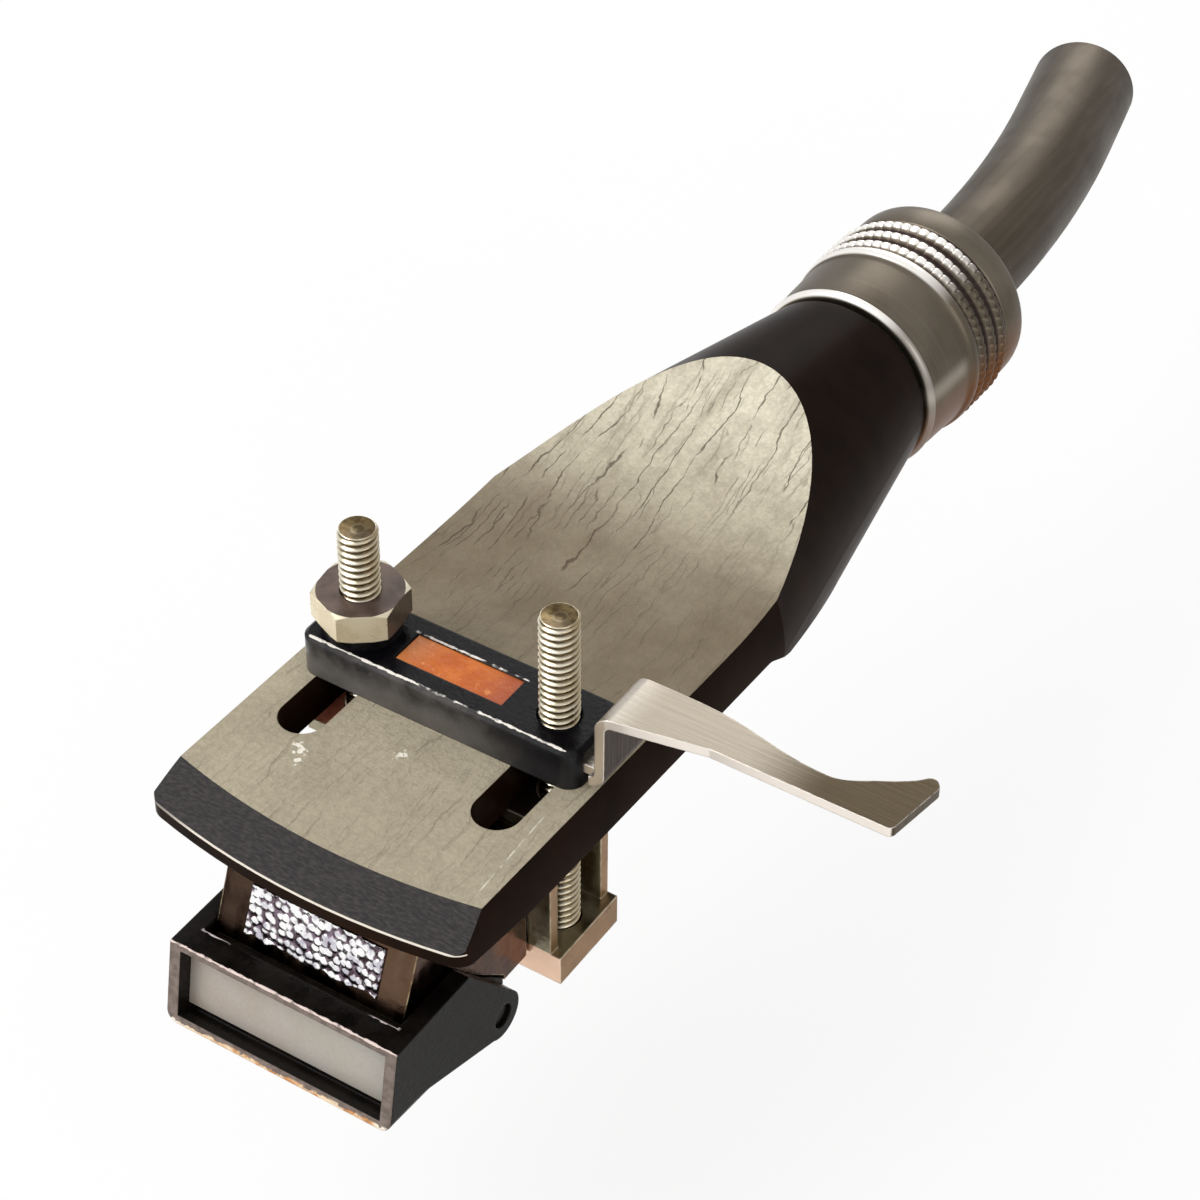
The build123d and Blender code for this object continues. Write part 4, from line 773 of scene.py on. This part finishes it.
# Guard panel: a thin satin plate let into the guard's front.
# It is glued in the pocket, a little below the frame round it, and is left bare.
panel_grey, tree, shader = new_finish("panel_grey", {"Metallic": 0.2, "Specular IOR Level": 0.3})
part = split(tree, place_in_mm(tree))
satin = mottled(tree, 6.0, 0.3, 0.7)
plate = mix(tree, ramp(tree, part["X"], -6.0, 6.0), srgb(180, 167, 154), srgb(184, 178, 167))
plate = mix(tree, times(tree, mottled(tree, 0.5), 0.4), plate, srgb(188, 183, 178))
feed(tree, shader["Base Color"], mix(tree, times(tree, satin, 0.15), plate, srgb(140, 130, 119)))
feed(tree, shader["Roughness"], ramp(tree, satin, 0, 1, 0.34, 0.46))
feed(tree, shader["Normal"], softened(tree, 0.05, satin, 0.003))
dress(panel_grey, "guard_panel")

# Clamp bar: a glossy black moulding across the headshell that spreads the screws' pull.
# Its top front edge and the pocket's rear edge carry a bright broken line, partly knocked through to the
# pale core and partly a painted highlight, and a coloured plate is let into its top.
bar_top = 21.15
bar_front_edge = (0.0, 7.275, bar_top)
pocket_rear_edge = (0.0, 10.7, bar_top)
pocket_half = 3.5

bar_black, tree, shader = new_finish("bar_black", {"Specular IOR Level": 0.1})
part = split(tree, place_in_mm(tree))
facing = facing_of(tree)
fingered = mottled(tree, 0.8)
gloss = mix(tree, fingered, srgb(9, 8, 11), srgb(18, 17, 20))
# The front face is grey with dust and a painted sheen on the glossy black, painted lighter lower down as
# light and darker towards the right as shade
dusty = mix(tree, mottled(tree, 0.5), srgb(48, 46, 47), srgb(88, 85, 82))
lower_down = ramp(tree, part["Z"], bar_top - 0.5, bar_top - 1.9, 0.0, 0.5)
dusty = mix(tree, lower_down, dusty, srgb(122, 118, 112))
dusty = mix(tree, ramp(tree, part["X"], 0.0, 7.0, 0.0, 0.85), dusty, srgb(24, 23, 26))
gloss = mix(tree, ramp(tree, facing["Y"], -0.4, -0.8), gloss, dusty)
# Bright broken lines on the pocket's rear edge and the top front edge: worn pale core and painted highlight
beside_pocket = ramp(tree, calc(tree, "ABSOLUTE", part["X"]), pocket_half + 0.2, pocket_half)
chipped = times(tree, lined(tree, pocket_rear_edge, 0.09, 0.4, 0.54), beside_pocket)
chipped = calc(tree, "MAXIMUM", chipped, lined(tree, bar_front_edge, 0.1, 0.33, 0.5))
feed(tree, shader["Base Color"], mix(tree, chipped, gloss, srgb(240, 234, 226)))
feed(tree, shader["Roughness"], ramp(tree, fingered, 0, 1, 0.18, 0.32))
feed(tree, shader["Normal"], softened(tree, 0.14, mottled(tree, 4.0), 0.004))
dress(bar_black, "clamp_bar")

inlay_orange, tree, shader = new_finish("inlay_orange", {"Specular IOR Level": 0.3})
part = split(tree, place_in_mm(tree))
shaded_orange = mix(tree, mottled(tree, 0.7), srgb(186, 88, 14), srgb(204, 108, 28))
# Painted highlight paler towards the left end, and painted shade darker red towards the right
shaded_orange = mix(tree, ramp(tree, part["X"], -1.2, -3.4, 0.0, 0.45), shaded_orange, srgb(212, 144, 96))
shaded_orange = mix(tree, ramp(tree, part["X"], 0.4, 3.6, 0.0, 0.75), shaded_orange, srgb(158, 72, 40))
feed(tree, shader["Base Color"], mix(tree, mottled(tree, 2.2, 0.6, 0.75), shaded_orange, srgb(226, 146, 84)))
feed(tree, shader["Roughness"], ramp(tree, mottled(tree, 1.5), 0, 1, 0.32, 0.46))
feed(tree, shader["Normal"], softened(tree, 0.05, mottled(tree, 2.5), 0.012))
dress(inlay_orange, "bar_inlay")

# Finger lift: one strip of aluminium folded up beside the bar and out to a flared tip.
# Its foot is caught in the bar's slot. The sheet is brushed and has gone dull, with pale sawn edges.
lift_aluminium, tree, shader = new_finish("lift_aluminium", {"Metallic": 1.0})
part = split(tree, place_in_mm(tree))
facing = facing_of(tree)
brushed = streaked(tree, 0.2, 4.5, 0.2)
sheet = mix(tree, brushed, srgb(148, 139, 125), srgb(159, 150, 136))
sheet = mix(tree, ramp(tree, part["X"], 12.5, 10.0, 0.0, 0.7), sheet, srgb(198, 190, 180))
sheet = mix(tree, ramp(tree, part["X"], 17.5, 22.5, 0.0, 0.95), sheet, srgb(72, 61, 45))
# Painted shade: the web's outer face, under the folded top, is dark brown
shaded_web = times(tree, ramp(tree, facing["X"], 0.5, 0.8), ramp(tree, part["X"], 14.0, 13.0))
sheet = mix(tree, shaded_web, sheet, srgb(56, 43, 33))
sawn = ramp(tree, calc(tree, "ABSOLUTE", facing["Y"]), 0.6, 0.85)
sheet = mix(tree, times(tree, sawn, 0.95), sheet, srgb(250, 240, 230))
feed(tree, shader["Base Color"], mix(tree, worn(tree, 0.1, 0.5), sheet, srgb(238, 230, 218)))
feed(tree, shader["Roughness"], ramp(tree, brushed, 0, 1, 0.3, 0.42))
feed(tree, shader["Normal"], softened(tree, 0.1, brushed, 0.0025))
dress(lift_aluminium, "finger_lift")

# Screws and nut: plated machine screws with slotted heads below, up through the bracket, headshell and bar.
# The left one has its nut, on a black fibre washer. The threads' roots are painted dark as shade.
thread_radius = 1.12
thread_depth = 0.18
thread_pitch = 0.45
thread_crest = 0.16
thread_slope = 0.6
thread_facets = 48
rows_per_turn = 14
head_radius = 1.8
head_height = 0.68
end_chamfer = 0.14
end_dish = 0.14
slot_half_width = 0.25
slot_half_length = 1.45
slot_depth = 0.35
screw_x = 6.35
screw_y = 9.5
thread_foot = 4.85
thread_end = 27.81
end_radius = 0.99

plated_steel, tree, shader = new_finish("plated_steel", {"Metallic": 1.0})
place = place_in_mm(tree)
part = split(tree, place)
hazy = mottled(tree, 0.9)
plated = mix(tree, hazy, srgb(212, 202, 176), srgb(236, 230, 212))
# Painted shade: darker olive-gold on the side that faces +X
plated = mix(tree, ramp(tree, facing_of(tree)["X"], 0.2, 0.85, 0.0, 0.85), plated, srgb(124, 105, 70))
beside = vector_calc(tree, "ABSOLUTE", place, (0, 0, 0))
beside = vector_calc(tree, "MULTIPLY", beside, (1.0, 1.0, 0.0))
off_axis = vector_calc(tree, "DISTANCE", beside, (screw_x, screw_y, 0.0))
on_thread = times(tree, ramp(tree, part["Z"], thread_foot, thread_foot + 0.1),
                  ramp(tree, part["Z"], thread_end + 0.1, thread_end))
# Painted shade: dark in the threads' roots
root = times(tree, ramp(tree, off_axis, thread_radius - 0.03, thread_radius - 0.17), on_thread)
plated = mix(tree, root, plated, srgb(84, 71, 50))
# Painted shade: the dished end face is dark olive-brown
end_face = ramp(tree, part["Z"], thread_end, thread_end + 0.05)
end_face = times(tree, end_face, ramp(tree, off_axis, end_radius, end_radius - 0.04))
dish_shade = mix(tree, mottled(tree, 1.5), srgb(76, 62, 40), srgb(116, 100, 70))
plated = mix(tree, end_face, plated, dish_shade)
feed(tree, shader["Base Color"], plated)
feed(tree, shader["Roughness"], ramp(tree, hazy, 0, 1, 0.18, 0.3))
feed(tree, shader["Normal"], softened(tree, 0.03))

nut_steel, tree, shader = new_finish("nut_steel", {"Metallic": 0.25, "Specular IOR Level": 0.3})
facing = facing_of(tree)
hazy = mottled(tree, 0.5)
side = mix(tree, hazy, srgb(226, 210, 174), srgb(242, 230, 200))
# Painted highlight: the chamfer, sloping up, is a little paler
side = mix(tree, ramp(tree, facing["Z"], 0.2, 0.5), side, srgb(240, 230, 200))
# Painted shade: the faces turned to +X are dark
side = mix(tree, ramp(tree, facing["X"], 0.5, 0.8, 0.0, 0.95), side, srgb(66, 54, 46))
# Painted reflection: the top face is darker brown
top = mix(tree, mottled(tree, 0.7), srgb(76, 62, 55), srgb(104, 88, 79))
feed(tree, shader["Base Color"], mix(tree, ramp(tree, facing["Z"], 0.85, 0.97), side, top))
feed(tree, shader["Roughness"], ramp(tree, hazy, 0, 1, 0.24, 0.36))
feed(tree, shader["Normal"], softened(tree, 0.1))
dress(nut_steel, "left_nut")

washer_fibre, tree, shader = new_finish("washer_fibre", {"Specular IOR Level": 0.1})
pressed = mottled(tree, 2.5)
feed(tree, shader["Base Color"], mix(tree, pressed, srgb(10, 9, 11), srgb(20, 18, 20)))
feed(tree, shader["Roughness"], ramp(tree, pressed, 0, 1, 0.3, 0.45))
feed(tree, shader["Normal"], softened(tree, 0.08, pressed, 0.006))
dress(washer_fibre, "left_washer")


def thread_cut(along, angle):
    """How far the thread is cut in at a height over the head and an angle."""
    off_crest = abs(2 * ((along / thread_pitch - angle / (2 * math.pi)) % 1) - 1)
    return thread_depth * min(1.0, max(0.0, (off_crest - thread_crest) / thread_slope))


for screw in ("left_screw", "right_screw"):
    low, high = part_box(screw)
    length = (high.z - low.z) / mm
    foot = Vector(((low.x + high.x) / 2, (low.y + high.y) / 2, low.z))
    thread_length = length - end_chamfer - head_height
    thread_rows = round(thread_length / thread_pitch * rows_per_turn)
    line = [(0.0, head_radius), (head_height, thread_radius)]
    for step in range(1, thread_rows + 1):
        line.append((head_height + thread_length * step / thread_rows, thread_radius))
    line += [
        (length - 0.3 * end_chamfer, thread_radius - 0.7 * end_chamfer),
        (length, thread_radius - end_chamfer),
        (length - 0.4 * end_dish, 0.62), (length - end_dish, 0.36),
    ]

    screw_form = bmesh.new()
    rings = []
    for along, radius in line:
        threaded = head_height < along < length - 0.6 * end_chamfer
        ring = []
        for step in range(thread_facets):
            angle = 2 * math.pi * step / thread_facets
            reach = radius - (thread_cut(along, angle) if threaded else 0.0)
            around = Vector((reach * math.cos(angle), reach * math.sin(angle), along))
            ring.append(screw_form.verts.new(foot + around * mm))
        rings.append(ring)
    for first, second in zip(rings, rings[1:]):
        for step in range(thread_facets):
            after = (step + 1) % thread_facets
            screw_form.faces.new((first[step], first[after], second[after], second[step]))
    screw_form.faces.new(rings[-1])

    # The driver's slot, cut into the head's flat underside
    mouth = []
    slot_floor = []
    for x, y in ((-1, -1), (1, -1), (1, 1), (-1, 1)):
        corner = foot + Vector((x * slot_half_length * mm, y * slot_half_width * mm, 0))
        mouth.append(screw_form.verts.new(corner))
        slot_floor.append(screw_form.verts.new(corner + Vector((0, 0, slot_depth * mm))))
    mouth_edges = [screw_form.edges.new((mouth[i], mouth[i - 1])) for i in range(4)]
    rim_edges = [screw_form.edges.get((rings[0][i], rings[0][i - 1])) for i in range(thread_facets)]
    bmesh.ops.triangle_fill(screw_form, edges=mouth_edges + rim_edges, use_beauty=True)
    for i in range(4):
        screw_form.faces.new((mouth[i - 1], mouth[i], slot_floor[i], slot_floor[i - 1]))
    screw_form.faces.new(slot_floor)
    bmesh.ops.recalc_face_normals(screw_form, faces=screw_form.faces)
    name = screw.replace("screw", "threaded_screw")
    new_piece(name, screw_form, plated_steel, "root", "plated_steel", screw)

# Studio: a pale floor some way under the stylus point, clear from below and plain white further off.
# Soft light comes from a large lamp above on the left and weaker ones on the right and behind.
# The surround is white, and metal shows it too.
floor_depth = 0.012
floor_half = 0.6
floor_lift = 0.85
shadow_reach = 110.0
white_from = 330.0
ambient = 0.55

floor_mesh = bpy.data.meshes.new("floor")
floor_form = bmesh.new()
bmesh.ops.create_grid(floor_form, x_segments=1, y_segments=1, size=floor_half)
floor_form.to_mesh(floor_mesh)
floor_form.free()
floor = bpy.data.objects.new("floor", floor_mesh)
floor.location = (0, 0, -floor_depth)
bpy.context.scene.collection.objects.link(floor)
pale, tree, shader = new_finish("pale_floor", {"Roughness": 0.9, "Specular IOR Level": 0.2})
feed(tree, shader["Base Color"], mix(tree, mottled(tree, 0.02), srgb(243, 243, 242), srgb(246, 246, 245)))
lit = tree.nodes["Principled BSDF"].outputs["BSDF"]
paper = add(tree, "Emission", {"Color": (1, 1, 1, 1), "Strength": 1.0}).outputs["Emission"]
far_off = vector_calc(tree, "LENGTH", place_in_mm(tree), (0, 0, 0))
white_share = ramp(tree, far_off, shadow_reach, white_from, floor_lift, 1.0)
seen = times(tree, add(tree, "LightPath").outputs["Is Camera Ray"], white_share)
top_side = add(tree, "MixShader", {0: seen, 1: lit, 2: paper}).outputs["Shader"]
from_below = add(tree, "NewGeometry").outputs["Backfacing"]
clear = add(tree, "BsdfTransparent").outputs["BSDF"]
feed(tree, tree.nodes["Material Output"].inputs["Surface"],
     add(tree, "MixShader", {0: from_below, 1: top_side, 2: clear}).outputs["Shader"])
floor_mesh.materials.append(pale)

studio = bpy.data.worlds.new("studio")
studio.use_nodes = True
tree = studio.node_tree
ray = add(tree, "LightPath").outputs
seen = calc(tree, "MAXIMUM", ray["Is Camera Ray"], ray["Is Glossy Ray"])
seen = calc(tree, "MAXIMUM", seen, ray["Is Transmission Ray"])
feed(tree, tree.nodes["Background"].inputs["Strength"], ramp(tree, seen, 0, 1, ambient, 1.0))
tree.nodes["Background"].inputs["Color"].default_value = (1, 1, 1, 1)
bpy.context.scene.world = studio

studio_lamps = [
    ("key_lamp", (-0.20, -0.16, 0.34), 0.26, 1.05),
    ("fill_lamp", (0.30, -0.10, 0.16), 0.22, 0.26),
    ("back_lamp", (-0.12, 0.34, 0.22), 0.20, 0.30),
]
light_aim = Vector((0.002, 0.025, 0.016))
for name, place, size, watts in studio_lamps:
    lamp = bpy.data.lights.new(name, "AREA")
    lamp.size = size
    lamp.energy = watts
    stand = bpy.data.objects.new(name, lamp)
    stand.location = place
    stand.rotation_euler = (Vector(place) - light_aim).to_track_quat("Z", "Y").to_euler()
    bpy.context.scene.collection.objects.link(stand)

camera_azimuth = math.radians(32.698)
camera_elevation = math.radians(40.897)
camera_roll = math.radians(0.423)
camera_aim = Vector((0.00424, 0.01659, 0.02284))
camera_distance = 0.17328
camera_lens = 97.28
camera_near = 0.001
back = Vector((
    math.sin(camera_azimuth) * math.cos(camera_elevation),
    -math.cos(camera_azimuth) * math.cos(camera_elevation),
    math.sin(camera_elevation),
))
camera = bpy.data.objects.new("camera", bpy.data.cameras.new("camera"))
camera.data.lens = camera_lens
camera.data.clip_start = camera_near
turn = back.to_track_quat("Z", "Y").to_matrix() @ Matrix.Rotation(camera_roll, 3, "Z")
camera.matrix_world = Matrix.Translation(camera_aim + back * camera_distance) @ turn.to_4x4()
bpy.context.scene.collection.objects.link(camera)
bpy.context.scene.camera = camera
bpy.context.scene.view_settings.view_transform = "Standard"
